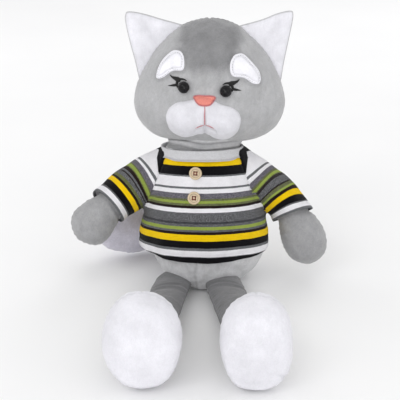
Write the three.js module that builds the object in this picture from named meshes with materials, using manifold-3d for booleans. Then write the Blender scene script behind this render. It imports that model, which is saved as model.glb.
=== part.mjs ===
// A seated plush cat in a striped knitted pullover.
// Millimetres, +Z up, the cat faces -Y, +X is the cat's own left.
// The origin is on the floor under the seat. The trunk leans back a little,
// the legs lie forward and the feet stand up with the soles to the front.
import * as THREE from "three";
import { mergeVertices } from "three/addons/utils/BufferGeometryUtils.js";
import Module from "manifold-3d";

const wasm = await Module();
wasm.setup();

// ---------- driving dimensions ----------
const SKIN = 2.0; // plush cloth with its pile
const KNIT = 1.9; // knitted cloth
const GAP = 0.5; // clearance between neighbours
const LEAN = 12; // degrees the trunk leans back
const HEAD = [8.6, 30, 181]; // middle of the head
const NECK = [2, 25.4, 119.3]; // the head nods and turns about this point
const NECK_R = 33.5;
const COLLAR_R = 37.6; // everything of the collar lies inside this ball round the neck point
const SHOULDER = { left: [45.5, 20, 97], right: [-41, 20, 97] };
const HIP = { left: [20, -25, 13], right: [-23.5, -25, 13] };
const ANKLE = { left: [41, -169, 19], right: [-44, -169, 19] };
const TAIL_ROOT = [-8, 43, 17];
const ARM_R = 18.2;
const LEG_R = 17.3;
const ANKLE_R = 14.6;
const TAIL_R = 11.4;
const EYE_R = 5.1; // 10 mm toy eyes
const BUTTON_R = 5.7; // 18-line shirt buttons
const BUTTON_T = 2.2;
const PELLETS = { at: [0, 13, 14.5], r: [27, 19.5, 10.5] };
// joint ranges in degrees, used to cut room for the motion
const RANGE = {
  arm: [-5, 50],
  leg: [-28, 18],
  foot: [-18, 18],
  tail: [-4, 31],
  nod: [-14, 8],
  ear: [-24, 16],
};

// ---------- colours ----------
const GREY = 0xb1b1b3, DARK_GREY = 0x7c7c80, WHITE = 0xf2f1f4, BLACK = 0x101012,
  PINK = 0xe8796f, WOOD = 0xd9c3a0, THREAD = 0x8a4a34, KNITTED = 0x8b8b86, RIB = 0xbdbdbd,
  FIBRE = 0xf6f4ee, PELLET = 0xdfe3e6, LILAC = 0xc4c1cc, WASHER = 0xe9e9e9;

// ---------- solids ----------
function toSolid(geometry) {
  const g = geometry.clone();
  g.deleteAttribute("normal");
  g.deleteAttribute("uv");
  const m = mergeVertices(g, 1e-4);
  const tri = new Uint32Array(m.index.array);
  const make = (t) =>
    new wasm.Manifold(
      new wasm.Mesh({ numProp: 3, vertProperties: new Float32Array(m.attributes.position.array), triVerts: t }),
    );
  const s = make(tri);
  if (s.volume() >= 0) return s;
  for (let i = 0; i < tri.length; i += 3) [tri[i + 1], tri[i + 2]] = [tri[i + 2], tri[i + 1]];
  return make(tri);
}
function toGeometry(solid) {
  const m = solid.getMesh(), n = m.numProp, v = new Float32Array(m.numVert * 3);
  for (let i = 0; i < m.numVert; i++) v.set(m.vertProperties.subarray(i * n, i * n + 3), i * 3);
  const g = new THREE.BufferGeometry()
    .setAttribute("position", new THREE.BufferAttribute(v, 3))
    .setIndex(new THREE.BufferAttribute(new Uint32Array(m.triVerts), 1));
  g.computeVertexNormals();
  return g;
}
// the largest body, for a cut that leaves crumbs
function main(solid) {
  const bodies = solid.decompose().sort((a, b) => b.volume() - a.volume());
  if (bodies[bodies.length - 1].volume() < -0.01) throw new Error("a sealed hollow");
  return bodies[0];
}
const cut = (a, ...others) => others.reduce((s, o) => s.subtract(o), a);
const join = (...all) => all.reduce((s, o) => s.add(o));
const V = (p) => new THREE.Vector3(...p);

function ball(centre, r, w = 18, h = 12) {
  const g = new THREE.SphereGeometry(1, w, h);
  const [rx, ry, rz] = Array.isArray(r) ? r : [r, r, r];
  g.rotateX(Math.PI / 2);
  g.scale(rx, ry, rz);
  g.translate(...centre);
  return toSolid(g);
}
// a big box that fills the side of a plane that its normal points to
function half(point, normal, size = 400) {
  const g = new THREE.BoxGeometry(size, size, size);
  g.translate(0, 0, size / 2);
  const q = new THREE.Quaternion().setFromUnitVectors(new THREE.Vector3(0, 0, 1), V(normal).normalize());
  g.applyQuaternion(q);
  g.translate(...point);
  return toSolid(g);
}
// turn a solid by degrees about an axis through a point
function turned(solid, point, axis, degrees) {
  const m = new THREE.Matrix4()
    .makeTranslation(...point)
    .multiply(new THREE.Matrix4().makeRotationAxis(V(axis).normalize(), THREE.MathUtils.degToRad(degrees)))
    .multiply(new THREE.Matrix4().makeTranslation(-point[0], -point[1], -point[2]));
  return toSolid(toGeometry(solid).applyMatrix4(m));
}
// the room a solid takes up as it turns through a range
function swept(solid, point, axis, [low, high], step = 14) {
  const n = Math.max(1, Math.ceil((high - low) / step));
  const all = [];
  for (let i = 0; i <= n; i++) all.push(turned(solid, point, axis, low + ((high - low) * i) / n));
  return join(...all);
}

// ---------- stuffed forms ----------
// Catmull-Rom through equally spaced rows of numbers
function spline(rows, u, first, last) {
  const n = rows.length - 1;
  const x = Math.min(u * n, n - 1e-9), i = Math.floor(x), t = x - i;
  const at = (k) => (k < 0 ? first : k > n ? last : rows[k]);
  const [a, b, c, d] = [at(i - 1), at(i), at(i + 1), at(i + 2)];
  return b.map(
    (_, k) =>
      0.5 * (2 * b[k] + (c[k] - a[k]) * t + (2 * a[k] - 5 * b[k] + 4 * c[k] - d[k]) * t * t +
        (3 * b[k] - a[k] - 3 * c[k] + d[k]) * t * t * t),
  );
}
// A sphere drawn out along a curved middle line. Each row is one cross-section:
// [x, y, z of its middle, half width, half depth to the front, half depth to the back].
// The first and last rows have no size and close the form with a round end.
function stuffed(rows, { front = [0, -1, 0], w = 16, h = 10 } = {}) {
  const g = new THREE.SphereGeometry(1, w, h);
  const n = rows.length - 1;
  const mirror = (r) => [r[0], r[1], r[2], -r[3], -r[4], -r[5]];
  const beyond = (a, b) => a.map((v, k) => 2 * v - b[k]);
  const p = g.attributes.position;
  const F0 = V(front);
  for (let i = 0; i < p.count; i++) {
    const theta = Math.acos(THREE.MathUtils.clamp(p.getY(i), -1, 1));
    const u = 1 - theta / Math.PI;
    const s = Math.sin(theta);
    const cx = s > 1e-6 ? p.getX(i) / s : 0, cz = s > 1e-6 ? p.getZ(i) / s : 0;
    const r = spline(rows, u, mirror(rows[1]), mirror(rows[n - 1]));
    const e = 0.02, lo = Math.max(0, u - e), hi = Math.min(1, u + e);
    const ca = spline(rows, lo, beyond(rows[0], rows[1]), beyond(rows[n], rows[n - 1]));
    const cb = spline(rows, hi, beyond(rows[0], rows[1]), beyond(rows[n], rows[n - 1]));
    const T = new THREE.Vector3(cb[0] - ca[0], cb[1] - ca[1], cb[2] - ca[2]).normalize();
    const F = F0.clone().addScaledVector(T, -F0.dot(T)).normalize();
    const R = new THREE.Vector3().crossVectors(F, T).normalize().negate();
    const b = cz > 0 ? r[4] : r[5];
    const size = s > 1e-6 ? 1 : 0;
    const q = new THREE.Vector3(r[0], r[1], r[2])
      .addScaledVector(R, cx * r[3] * size)
      .addScaledVector(F, cz * b * size);
    p.setXYZ(i, q.x, q.y, q.z);
  }
  g.deleteAttribute("normal");
  g.deleteAttribute("uv");
  return mergeVertices(g, 1e-4);
}
// every point of a form moved along its normal
function grown(geometry, d) {
  const g = geometry.clone();
  g.computeVertexNormals();
  const p = g.attributes.position, nn = g.attributes.normal;
  const flip = toSolidSign(g);
  for (let i = 0; i < p.count; i++)
    p.setXYZ(i, p.getX(i) + flip * d * nn.getX(i), p.getY(i) + flip * d * nn.getY(i), p.getZ(i) + flip * d * nn.getZ(i));
  g.deleteAttribute("normal");
  return g;
}
function toSolidSign(g) {
  const p = g.attributes.position, ix = g.index;
  let v = 0;
  for (let i = 0; i < ix.count; i += 3) {
    const [a, b, c] = [0, 1, 2].map((k) => new THREE.Vector3().fromBufferAttribute(p, ix.getX(i + k)));
    v += a.dot(b.cross(c));
  }
  return v > 0 ? 1 : -1;
}

// ---------- cross-section tables ----------
const rad = THREE.MathUtils.degToRad;
const up = [0, Math.sin(rad(LEAN)), Math.cos(rad(LEAN))];
// trunk rows: height along the leaning middle line, half width, front, back
const trunkRows = [
  [-9, 0, 0, 0], [-5, 24, 25, 24], [3, 34.5, 36.5, 35], [12, 42.5, 42.5, 40], [23, 51, 46, 43],
  [35, 56.3, 47.5, 43], [47, 57, 46.5, 42], [60, 54, 44, 41], [74, 50, 41, 39.5],
  [89, 47, 38, 37.5], [102, 44.5, 36, 35.5], [113, 41, 34.5, 34], [123, 35, 32, 32],
  [131, 23, 22, 22], [134, 0, 0, 0],
].map(([s, a, f, b]) => {
  const x = s < 28 ? 4.6 * Math.max(0, (s + 5) / 33) : 4.6 - 1.6 * Math.min(1, (s - 28) / 60);
  return [x, s * up[1], s * up[2], a, f, b];
});
const headRows = [
  [-56.5, 0, 0, 0], [-54, 34, 24, 24], [-48, 50.5, 36, 36.5], [-39, 61, 44.5, 46.5],
  [-27, 67, 50, 51.5], [-14, 68.2, 52, 53.5], [2, 64, 51, 53.5], [15, 57.5, 47, 51],
  [27, 49.6, 41.5, 45.5], [38, 40, 34, 37.5], [47.5, 29.5, 26, 28.5], [53.8, 18, 16, 18], [57.8, 0, 0, 0],
].map(([z, a, f, b]) => [HEAD[0], HEAD[1], HEAD[2] + z, a, f, b]);

const trunkForm = (w, h) => stuffed(trunkRows, { w, h });
const headForm = (w, h) => stuffed(headRows, { w, h });

const round = (rows) => rows.map(([x, y, z, r]) => [x, y, z, r, r * 0.97, r * 0.97]);
const limbRows = {
  arm_left: round([
    [35.5, 22, 103, 0], [38.5, 21.6, 101.5, 10], [45.5, 20, 97, 15.4], [63.5, 18, 85.5, 13.8], [77.5, 15, 72.5, 14],
    [86, 12.5, 59, 15.2], [92, 10.5, 47.5, 19.2], [97.5, 8.5, 34, 20.4], [101, 7, 21, 15.5], [102.5, 6, 13, 0],
  ]),
  arm_right: round([
    [-31, 22, 103, 0], [-34, 21.5, 101, 10.5], [-41, 20, 97, 16.6], [-58, 18, 88, 16.4], [-73, 15, 77, 15.6],
    [-84.5, 11.3, 67.8, 15.8], [-93, 7.3, 59.8, 18.4], [-101.5, 3, 51, 19.2], [-108, -0.5, 44.8, 14], [-112, -2.5, 41, 0],
  ]),
};
const sleeveRowsOf = {
  left: round([
    [32.5, 22.6, 105, 0], [37, 21.8, 102.2, 12.6], [45.5, 20, 97, 18.6], [63.5, 18, 85.5, 17.2], [77.5, 15, 72.5, 17.4],
    [85.5, 12.5, 59.8, 18.3], [91, 10.6, 49, 18.6], [96, 9, 38, 18], [98, 8, 33, 0],
  ]),
  right: round([
    [-28, 22.6, 104.5, 0], [-32.5, 21.8, 102, 13.5], [-41, 20, 97, 20.4], [-58, 18, 88, 20], [-73, 15, 77, 19],
    [-84.5, 11.6, 68, 18.7], [-92, 8.4, 60.8, 18.6], [-100, 5, 53, 18], [-103, 4, 50, 0],
  ]),
};
const legRows = (side) => {
  const [hx, hy, hz] = HIP[side], [ax, ay, az] = ANKLE[side];
  const at = (t) => [hx + (ax - hx) * t, hy + (ay - hy) * t, hz + (az - hz) * t];
  return [
    [...at(-0.105), 0, 0, 0], [...at(-0.085), 9.5, 6, 6], [...at(0), 15.6, 9.8, 9.8],
    [...at(0.2), 16.2, 11.4, 11.4], [...at(0.45), 16, 13.2, 13.2], [...at(0.7), 15.2, 14.3, 14.3],
    [...at(0.9), 14.4, 14.3, 14.3], [...at(1), 13.8, 13.8, 13.8], [...at(1.07), 9.5, 9.5, 9.5], [...at(1.1), 0, 0, 0],
  ];
};
const footRows = (side) => {
  // the left foot is a little narrower and lower than the right
  const left = side === "left", x = left ? 43 : -44, k = (left ? 27.4 : 29.8) / 29;
  return left
    ? [
        [x, -163.5, 33, 0, 0, 0], [x, -165.5, 33.5, 15 * k, 21, 21], [x, -172, 35.5, 24.5 * k, 31.5, 31.5],
        [x, -182, 37.4, 29 * k, 36.8, 36.8], [x, -193, 38.2, 29.4 * k, 37.4, 37.4], [x, -202, 39, 26 * k, 33, 33],
        [x, -207.5, 39, 16 * k, 21.5, 21.5], [x, -209.6, 39, 0, 0, 0],
      ]
    : [
        [x, -163.5, 33, 0, 0, 0], [x, -165.5, 33.5, 15 * k, 21, 21], [x, -172, 36, 24.5 * k, 32, 32],
        [x, -182, 38.6, 29 * k, 37.8, 37.8], [x, -193, 39.8, 29.4 * k, 37.6, 37.6], [x, -202, 40.6, 26 * k, 32.2, 32.2],
        [x, -207.5, 40.6, 16 * k, 20.5, 20.5], [x, -209.6, 40.6, 0, 0, 0],
      ];
};
// the two half widths of the tail are swapped: it is taller than it is thick
const tailRows = [
  [1, 37, 16.5, 0, 0, 0], [-1, 38.5, 16.6, 7, 7, 7], [-8, 43, 17, 11, 11, 11], [-25, 61, 20, 11.6, 15, 15],
  [-45, 62, 25.6, 12.6, 23.2, 23.2], [-64, 55, 29, 15, 26.8, 26.8], [-81, 49, 31.5, 15, 24, 24],
  [-93, 45, 34, 11.6, 17, 17], [-100, 43, 35.5, 0, 0, 0],
];

// ---------- build ----------
const cat = new THREE.Group();
const groups = {};
function body(name) {
  groups[name] = new THREE.Group();
  groups[name].name = name + "_group";
  cat.add(groups[name]);
  return groups[name];
}
function add(group, name, solid, color, roughness = 0.95, metalness = 0) {
  const mesh = new THREE.Mesh(toGeometry(main(solid)), new THREE.MeshStandardMaterial({ color, roughness, metalness }));
  mesh.name = name;
  group.add(mesh);
}
const torso = body("torso"), neck = body("neck"), head = body("head");

const X = [1, 0, 0], Y = [0, 1, 0];

// --- limbs first: the trunk is cut to give them room ---
const limb = {};
for (const side of ["left", "right"]) {
  const s = side === "left" ? 1 : -1;
  // arms
  const rows = limbRows["arm_" + side], S = SHOULDER[side];
  const form = (w, h) => stuffed(rows, { w, h });
  const outer = toSolid(form(14, 12));
  const inner = toSolid(grown(form(12, 9), -SKIN - 0.2));
  const fill = toSolid(grown(form(9, 8), -SKIN - 2.4));
  const mouth = half([S[0] - s * 4, S[1], S[2] + 2.4], [-s, 0, 0.55]); // the open end sewn to the trunk
  const sleeveRows = sleeveRowsOf[side];
  const sleeveForm = (w, h) => stuffed(sleeveRows, { w, h });
  const C = sleeveRows[5], D = sleeveRows[6];
  const dir = [D[0] - C[0], D[1] - C[1], D[2] - C[2]];
  const cuff = half(C.slice(0, 3).map((v, k) => v + dir[k] * 0.08), dir);
  const sleeveOuter = cut(toSolid(grown(sleeveForm(16, 12), 0.4)), cuff);
  const sleeveInner = toSolid(grown(sleeveForm(14, 11), -KNIT));
  limb["arm_" + side] = {
    outer, inner, fill, mouth, sleeveOuter, sleeveInner, cuff,
    room: join(ball(S, 21.9, 16, 10), swept(cut(toSolid(grown(sleeveForm(12, 8), 1.8)), cuff), S, [0, s === 1 ? -1 : 1, 0], [RANGE.arm[0], 0])),
  };
  // legs
  const lr = legRows(side), H = HIP[side], A = ANKLE[side];
  const lf = (w, h) => stuffed(lr, { w, h, front: [0, 0, 1] });
  limb["leg_" + side] = {
    outer: toSolid(lf(14, 11)),
    inner: toSolid(grown(lf(12, 9), -SKIN - 0.2)),
    fill: toSolid(grown(lf(10, 9), -SKIN - 1.4)),
    mouth: half([H[0], H[1] + 11, H[2]], [0, 1, 0]),
    end: half([A[0], A[1] - 9.5, A[2]], [0, -1, 0]),
    room: join(ball(H, [LEG_R + 1.2, 12.9, 12.9], 14, 10), swept(toSolid(grown(lf(9, 6), 3.8)), H, [-1, 0, 0], RANGE.leg, 18)),
    footRoom: join(ball(A, ANKLE_R + 1, 16, 12), swept(toSolid(grown(lf(8, 6), 2)), A, X, RANGE.foot)),
  };
}
// tail: swings about a vertical line through its root
const tailForm = (w, h) => stuffed(tailRows, { w, h, front: [0, 0, 1] });
const tailOuter = toSolid(tailForm(16, 11));
const tailRoom = join(ball(TAIL_ROOT, TAIL_R + 1.2, 12, 8), swept(toSolid(grown(tailForm(10, 8), 1.4)), TAIL_ROOT, [0, 0, -1], [RANGE.tail[0], 20], 12));
const neckBall = ball(NECK, NECK_R + 1.3, 22, 14);
const rooms = [neckBall, tailRoom, limb.leg_left.room, limb.leg_right.room];
const armRooms = [limb.arm_left.room, limb.arm_right.room];
const fillRooms = [ball(NECK, NECK_R + 2.4, 12, 8), ball(TAIL_ROOT, 22, 8, 6), ...["left", "right"].flatMap((side) => [ball(HIP[side], 29, 9, 6), ball(SHOULDER[side], 27, 9, 6)])];

// --- trunk ---
const floor = half([0, 0, 0], [0, 0, -1]);
const trunkOuter = cut(toSolid(trunkForm(20, 12)), floor);
const trunkInner = cut(toSolid(grown(trunkForm(12, 9), -SKIN - 0.9)), half([0, 0, SKIN], [0, 0, -1]));
const alongTrunk = (s) => [3.2, s * up[1], s * up[2]];
const underCollar = half(alongTrunk(114.5), up);
add(torso, "body_skin", cut(trunkOuter, trunkInner, underCollar, ...rooms, ...armRooms), GREY);
const pelletForm = cut(ball(PELLETS.at, PELLETS.r, 14, 9), half([0, 0, SKIN + 1.5], [0, 0, -1]), ball(HIP.left, 26, 9, 6), ball(HIP.right, 26, 9, 6), ball(TAIL_ROOT, 18, 8, 6));
add(torso, "pellet_bag", pelletForm, PELLET, 0.8);
const trunkFill = cut(toSolid(grown(trunkForm(10, 8), -SKIN - 4.2)), half([0, 0, SKIN + 0.9], [0, 0, -1]), ball(PELLETS.at, PELLETS.r.map((r) => r + 2.6), 10, 7), ...fillRooms);
add(torso, "body_stuffing", trunkFill, FIBRE);

// --- pullover body: two panels that meet at the side seams ---
const hem = { at: [0, -46, 36.2], n: [0, -Math.sin(rad(2)), -Math.cos(rad(2))] };
const belowHem = half(hem.at, hem.n);
const aboveCollar = half(alongTrunk(115.2), up);
const knitOuter = toSolid(grown(trunkForm(20, 12), GAP + KNIT + 0.5));
const knitInner = toSolid(grown(trunkForm(20, 12), GAP));
const knitShell = cut(knitOuter, knitInner, belowHem, aboveCollar, ...armRooms, ball(NECK, COLLAR_R + 1.2, 26, 18));
const sideNormal = [0, -Math.cos(rad(LEAN)), Math.sin(rad(LEAN))];
add(torso, "pullover_front", cut(knitShell, half([0, -0.2, 0], sideNormal.map((v) => -v))), KNITTED);
add(torso, "pullover_back", cut(knitShell, half([0, 0.2, 0], sideNormal)), KNITTED);
// collar: a plain turned band round the neck
{
  const r0 = NECK_R + 1.2, r1 = Math.sqrt(COLLAR_R ** 2 - 5.2 ** 2);
  const profile = [[r0, -5], [r1 - 0.9, -5], [r1, -4], [r1, 4], [r1 - 0.9, 5], [r0, 5], [r0, -5]];
  const g = new THREE.LatheGeometry(profile.map(([x, y]) => new THREE.Vector2(x, y)), 30);
  g.rotateX(Math.PI / 2); // the lathe's own axis is Y
  g.rotateX(-rad(LEAN));
  g.translate(...NECK);
  add(torso, "pullover_collar", cut(toSolid(g), ball(NECK, NECK_R + 0.9, 28, 20)), RIB);
}

// --- buttons on the chest ---
function button(group, name, at, tiltDeg) {
  const circle = (x, y, r, n) => Array.from({ length: n }, (_, i) => new THREE.Vector2(x + r * Math.cos((2 * Math.PI * i) / n), y + r * Math.sin((2 * Math.PI * i) / n)));
  const shape = new THREE.Shape(circle(0, 0, BUTTON_R, 20));
  const d = 1.35;
  for (const [x, y] of [[d, d], [-d, d], [-d, -d], [d, -d]]) shape.holes.push(new THREE.Path(circle(x, y, 0.8, 8)));
  const place = (g) => {
    g.rotateX(Math.PI / 2); // the face looks along -Y
    g.rotateX(-rad(tiltDeg));
    g.translate(...at);
    return toSolid(g);
  };
  const disc = place(new THREE.ExtrudeGeometry(shape, { depth: BUTTON_T, bevelEnabled: false }));
  const dish = place(new THREE.CylinderGeometry(4.1, 3.7, 1.4, 14).rotateX(Math.PI / 2).translate(0, 0, BUTTON_T + 0.1));
  add(group, name, cut(disc, dish), WOOD, 0.55);
  const posts = [[d, d], [-d, d], [-d, -d], [d, -d]].map(([x, y]) =>
    place(new THREE.CylinderGeometry(0.45, 0.45, BUTTON_T - 0.2, 6).rotateX(Math.PI / 2).translate(x, y, BUTTON_T / 2)));
  const bars = [d, -d].map((y) => place(new THREE.BoxGeometry(2 * d + 0.9, 0.8, 0.8).translate(0, y, BUTTON_T - 0.7 + 0.72)));
  const cross = place(new THREE.BoxGeometry(0.8, 2 * d + 0.9, 0.8).translate(d, 0, BUTTON_T - 0.7 + 0.72));
  add(group, name + "_thread", join(...posts, ...bars, cross), THREAD, 0.8);
}
// the chest surface faces forward and up
{
  const chest = (s, x, off) => {
    const k = spline(trunkRows, indexAt(s), trunkRows[0], trunkRows[trunkRows.length - 1]);
    const f = k[4] + GAP + KNIT + 0.5 + off;
    return [x, k[1] - f * Math.cos(rad(LEAN)), k[2] + f * Math.sin(rad(LEAN))];
  };
  function indexAt(s) {
    let lo = 0, hi = 1;
    for (let i = 0; i < 40; i++) {
      const mid = (lo + hi) / 2;
      if (spline(trunkRows, mid, trunkRows[0], trunkRows[trunkRows.length - 1])[2] < s * up[2]) lo = mid;
      else hi = mid;
    }
    return lo;
  }
  button(torso, "button_upper", chest(104.5, -3.8, 1.1), -LEAN + 20);
  button(torso, "button_lower", chest(83, -5.2, 1.1), -LEAN + 17);
}

// --- neck: a stuffed ball joint of cloth ---
const neckTop = half([NECK[0], NECK[1] + 4, NECK[2] + 27], [0, 0.15, 1]);
const neckFoot = half([NECK[0], NECK[1], NECK[2] - 24], [0, 0, -1]);
add(neck, "neck_skin", cut(ball(NECK, NECK_R, 20, 12), ball(NECK, NECK_R - SKIN, 14, 9), neckTop, neckFoot), GREY);
add(neck, "neck_stuffing", cut(ball(NECK, NECK_R - SKIN - 1.8, 10, 7), neckTop, neckFoot), FIBRE);

// --- head ---
const headOuter = toSolid(headForm(20, 12));
const headHole = ball(NECK, COLLAR_R + 1.3, 20, 14);
const eyes = { left: [13.4, -50.2, 6.4], right: [-22.6, -47.2, 9.0] };
const at = ([x, y, z]) => [x + HEAD[0], y + HEAD[1], z + HEAD[2]];
function aimed(g, p, yaw, pitch) {
  // a piece built along +Z is turned to look along -Y, then yawed and pitched
  g.rotateX(Math.PI / 2);
  g.rotateX(-rad(pitch));
  g.rotateZ(rad(yaw));
  g.translate(...p);
  return toSolid(g);
}
const eyeAim = { left: [16, 3], right: [-24, 5] };
const shankRoom = [], washers = {};
for (const side of ["left", "right"]) {
  const p = at(eyes[side]), [yaw, pitch] = eyeAim[side];
  shankRoom.push(aimed(new THREE.CylinderGeometry(2.1, 2.1, 16, 8).rotateX(Math.PI / 2).translate(0, 0, -7), p, yaw, pitch));
  shankRoom.push(aimed(new THREE.CylinderGeometry(6.4, 6.4, 5.2, 10).rotateX(Math.PI / 2).translate(0, 0, -7.6), p, yaw, pitch));
}
add(head, "head_skin", cut(headOuter, toSolid(grown(headForm(12, 9), -SKIN - 1)), headHole, ...shankRoom), GREY);
add(head, "head_stuffing", cut(toSolid(grown(headForm(10, 8), -SKIN - 4.6)), headHole, ...shankRoom), FIBRE);
for (const side of ["left", "right"]) {
  const p = at(eyes[side]), [yaw, pitch] = eyeAim[side];
  // a domed toy eye on a ribbed shank
  const profile = [[0, -9.5], [1.5, -9.5], [1.5, -1.2], [4.3, -1.1], [5.1, 0.1], [4.9, 1.6], [4.0, 2.9], [2.4, 3.8], [0, 4.2]];
  const g = new THREE.LatheGeometry(profile.map(([x, y]) => new THREE.Vector2((x * EYE_R) / 5.1, y)), 16);
  g.rotateX(Math.PI / 2);
  g.translate(0, 0, 1.9);
  const eye = aimed(g, p, yaw, pitch);
  limb["eye_" + side] = eye;
  add(head, "eye_" + side, eye, BLACK, 0.08);
  const ring = [[1.9, -0.8], [5.6, -0.8], [5.6, 0.8], [1.9, 0.8], [1.9, -0.8]];
  const washer = new THREE.LatheGeometry(ring.map(([x, y]) => new THREE.Vector2(x, y)), 14);
  washer.rotateX(Math.PI / 2);
  washer.translate(0, 0, -6.4);
  add(head, "eye_washer_" + side, aimed(washer, p, yaw, pitch), WASHER, 0.5);
}
// flat outlines on the face are drawn in X and Z and pressed onto the surface
function outline(points, smooth = true) {
  const v = points.map(([x, z]) => new THREE.Vector2(x + HEAD[0], z + HEAD[2]));
  const shape = new THREE.Shape();
  if (smooth) {
    const c = new THREE.CatmullRomCurve3(v.map((q) => new THREE.Vector3(q.x, q.y, 0)), true, "centripetal");
    shape.setFromPoints(c.getPoints(points.length * 3).slice(0, -1).map((q) => new THREE.Vector2(q.x, q.y)));
  } else shape.setFromPoints(v);
  const g = new THREE.ExtrudeGeometry(shape, { depth: 90, bevelEnabled: false });
  g.rotateX(Math.PI / 2); // drawn in X and Z, pushed out along -Y
  g.translate(0, HEAD[1], 0);
  return toSolid(g);
}
const headLayer = (lo, hi) => cut(toSolid(grown(headForm(20, 12), hi)), toSolid(grown(headForm(20, 12), lo)));
// muzzle: a white two-lobed patch, padded from behind
const lobes = (d) =>
  join(
    ball(at([-21, -32.5, -18.8]), [19.8 + d, 24.5 + d, 20.5 + d], 14, 10),
    ball(at([11.0, -33.5, -20.2]), [19.8 + d, 25 + d, 20.8 + d], 14, 10),
    ball(at([-5.0, -33, -14.5]), [26.5 + d, 26.3 + d, 22.2 + d], 16, 10),
  );
add(head, "muzzle", cut(lobes(0), toSolid(grown(headForm(20, 12), 0.35)), headHole), WHITE);
const faceLayer = (lo, hi) =>
  cut(join(toSolid(grown(headForm(20, 12), 0.35 + hi)), lobes(hi)), join(toSolid(grown(headForm(20, 12), 0.35 + lo)), lobes(lo)));
add(head, "nose", outline([[-13.8, 2.6], [4.4, 2.6], [4.6, 1.2], [0.8, -3.4], [-2, -4.7], [-7.4, -4.7], [-10.2, -3.4], [-14, 1.2]], false).intersect(faceLayer(0.4, 1.9)), PINK, 0.7);
add(head, "mouth", outline([[-5.1, -5.4], [-4.0, -5.4], [-4.0, -21.2], [4.2, -25.0], [3.8, -26.0], [-4.5, -22.5], [-11.4, -26.2], [-11.8, -25.2], [-5.1, -21.6]], false).intersect(faceLayer(0.35, 1.15)), PINK, 0.7);
add(head, "brow_right", outline([[-46.6, 12.6], [-43, 24], [-33, 34.5], [-25.6, 36], [-22, 31.5], [-23, 22.5], [-32, 20.2], [-41, 13.5]]).intersect(headLayer(0.35, 1.7)), WHITE);
add(head, "brow_left", outline([[16.8, 26.4], [20.4, 33], [28.2, 33.4], [36.6, 26], [43.4, 16.2], [42.9, 8.8], [36.6, 10], [29.4, 15], [19, 17.8]]).intersect(headLayer(0.35, 1.7)), WHITE);
// lashes: a satin-stitched lid line with two points, outside each eye; radius and angle about the eye
const lashPoints = [[5.75, 75], [6.7, 90], [7.1, 110], [7.8, 128], [12.9, 146], [7.2, 162], [6.4, 172], [13, 181.5],
  [6.4, 189], [6.1, 202], [5.75, 196], [5.75, 170], [5.75, 150], [5.75, 130], [5.75, 110], [5.75, 90]];
for (const side of ["left", "right"]) {
  const [ex, , ez] = eyes[side], m = side === "right" ? 1 : -1;
  const points = lashPoints.map(([r, t]) => [ex + m * r * Math.cos(rad(t)), ez + r * Math.sin(rad(t))]);
  add(head, "lashes_" + side, cut(outline(points, false).intersect(headLayer(0.35, 1.15)), toSolid(grown(toPlain(limb["eye_" + side]), 0.35))), BLACK, 0.6);
}
function toPlain(solid) {
  return toGeometry(solid).deleteAttribute("normal");
}

// --- ears: two cloth leaves each, white in front and grey behind ---
const earPoints = {
  right: { low: [-63.4, 0.5], top: [-25.0, 51.6], tip: [-74.6, 63.4], outer: [[-67, 18], [-71.4, 36], [-74.8, 53]], inner: [[-60, 61.5], [-44, 57]] },
  left: { low: [64.6, -0.5], top: [26.6, 50.6], tip: [74.2, 64.2], outer: [[67, 17], [70.4, 36], [73.4, 53]], inner: [[60.5, 61.6], [46, 56]] },
};
const EAR_Y = 6;
const headKeepOut = toSolid(grown(headForm(20, 12), 1.3));
for (const side of ["left", "right"]) {
  const group = body("ear_" + side);
  const e = earPoints[side];
  const s = side === "left" ? 1 : -1;
  const inside = [[s * 30, 20]];
  const leaf = (y, t, shrink) => {
    const pts = [e.low, ...e.outer, e.tip, ...e.inner, e.top, ...inside].map(([x, z]) => {
      const cx = s * 55, cz = 38;
      return [cx + (x - cx) * shrink, cz + (z - cz) * shrink];
    });
    const shape = new THREE.Shape(pts.map(([x, z]) => new THREE.Vector2(x + HEAD[0], z + HEAD[2])));
    const g = new THREE.ExtrudeGeometry(shape, { depth: t, bevelEnabled: false });
    g.rotateX(Math.PI / 2);
    g.translate(0, HEAD[1] + y, 0);
    return toSolid(g);
  };
  add(group, "ear_front_" + side, cut(leaf(EAR_Y - 0.15, 2.4, 0.975), headKeepOut), WHITE);
  add(group, "ear_back_" + side, cut(leaf(EAR_Y + 2.55, 2.4, 1), headKeepOut), GREY);
}

// --- arms with their sleeves ---
for (const side of ["left", "right"]) {
  const group = body("arm_" + side), a = limb["arm_" + side];
  add(group, "arm_skin_" + side, cut(a.outer, a.inner, a.mouth), GREY);
  add(group, "arm_stuffing_" + side, cut(a.fill, a.mouth), FIBRE);
  const S = SHOULDER[side], s = side === "left" ? 1 : -1;
  add(group, "sleeve_" + side, cut(a.sleeveOuter, a.sleeveInner, a.outer, half([S[0] - s * 3, S[1], S[2]], [-s, 0, 0.5])), KNITTED);
}
// --- legs and feet ---
for (const side of ["left", "right"]) {
  const leg = body("leg_" + side), foot = body("foot_" + side), l = limb["leg_" + side];
  add(leg, "leg_skin_" + side, cut(l.outer, l.inner, l.mouth, l.end), DARK_GREY);
  add(leg, "leg_stuffing_" + side, cut(l.fill, l.mouth, l.end), FIBRE);
  const form = (w, h) => stuffed(footRows(side), { w, h, front: [0, 0, 1] });
  add(foot, "foot_skin_" + side, cut(toSolid(form(16, 10)), toSolid(grown(form(12, 8), -SKIN - 0.3)), l.footRoom, floor), WHITE);
  add(foot, "foot_stuffing_" + side, cut(toSolid(grown(form(10, 7), -SKIN - 2.6)), l.footRoom), FIBRE);
}
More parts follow.
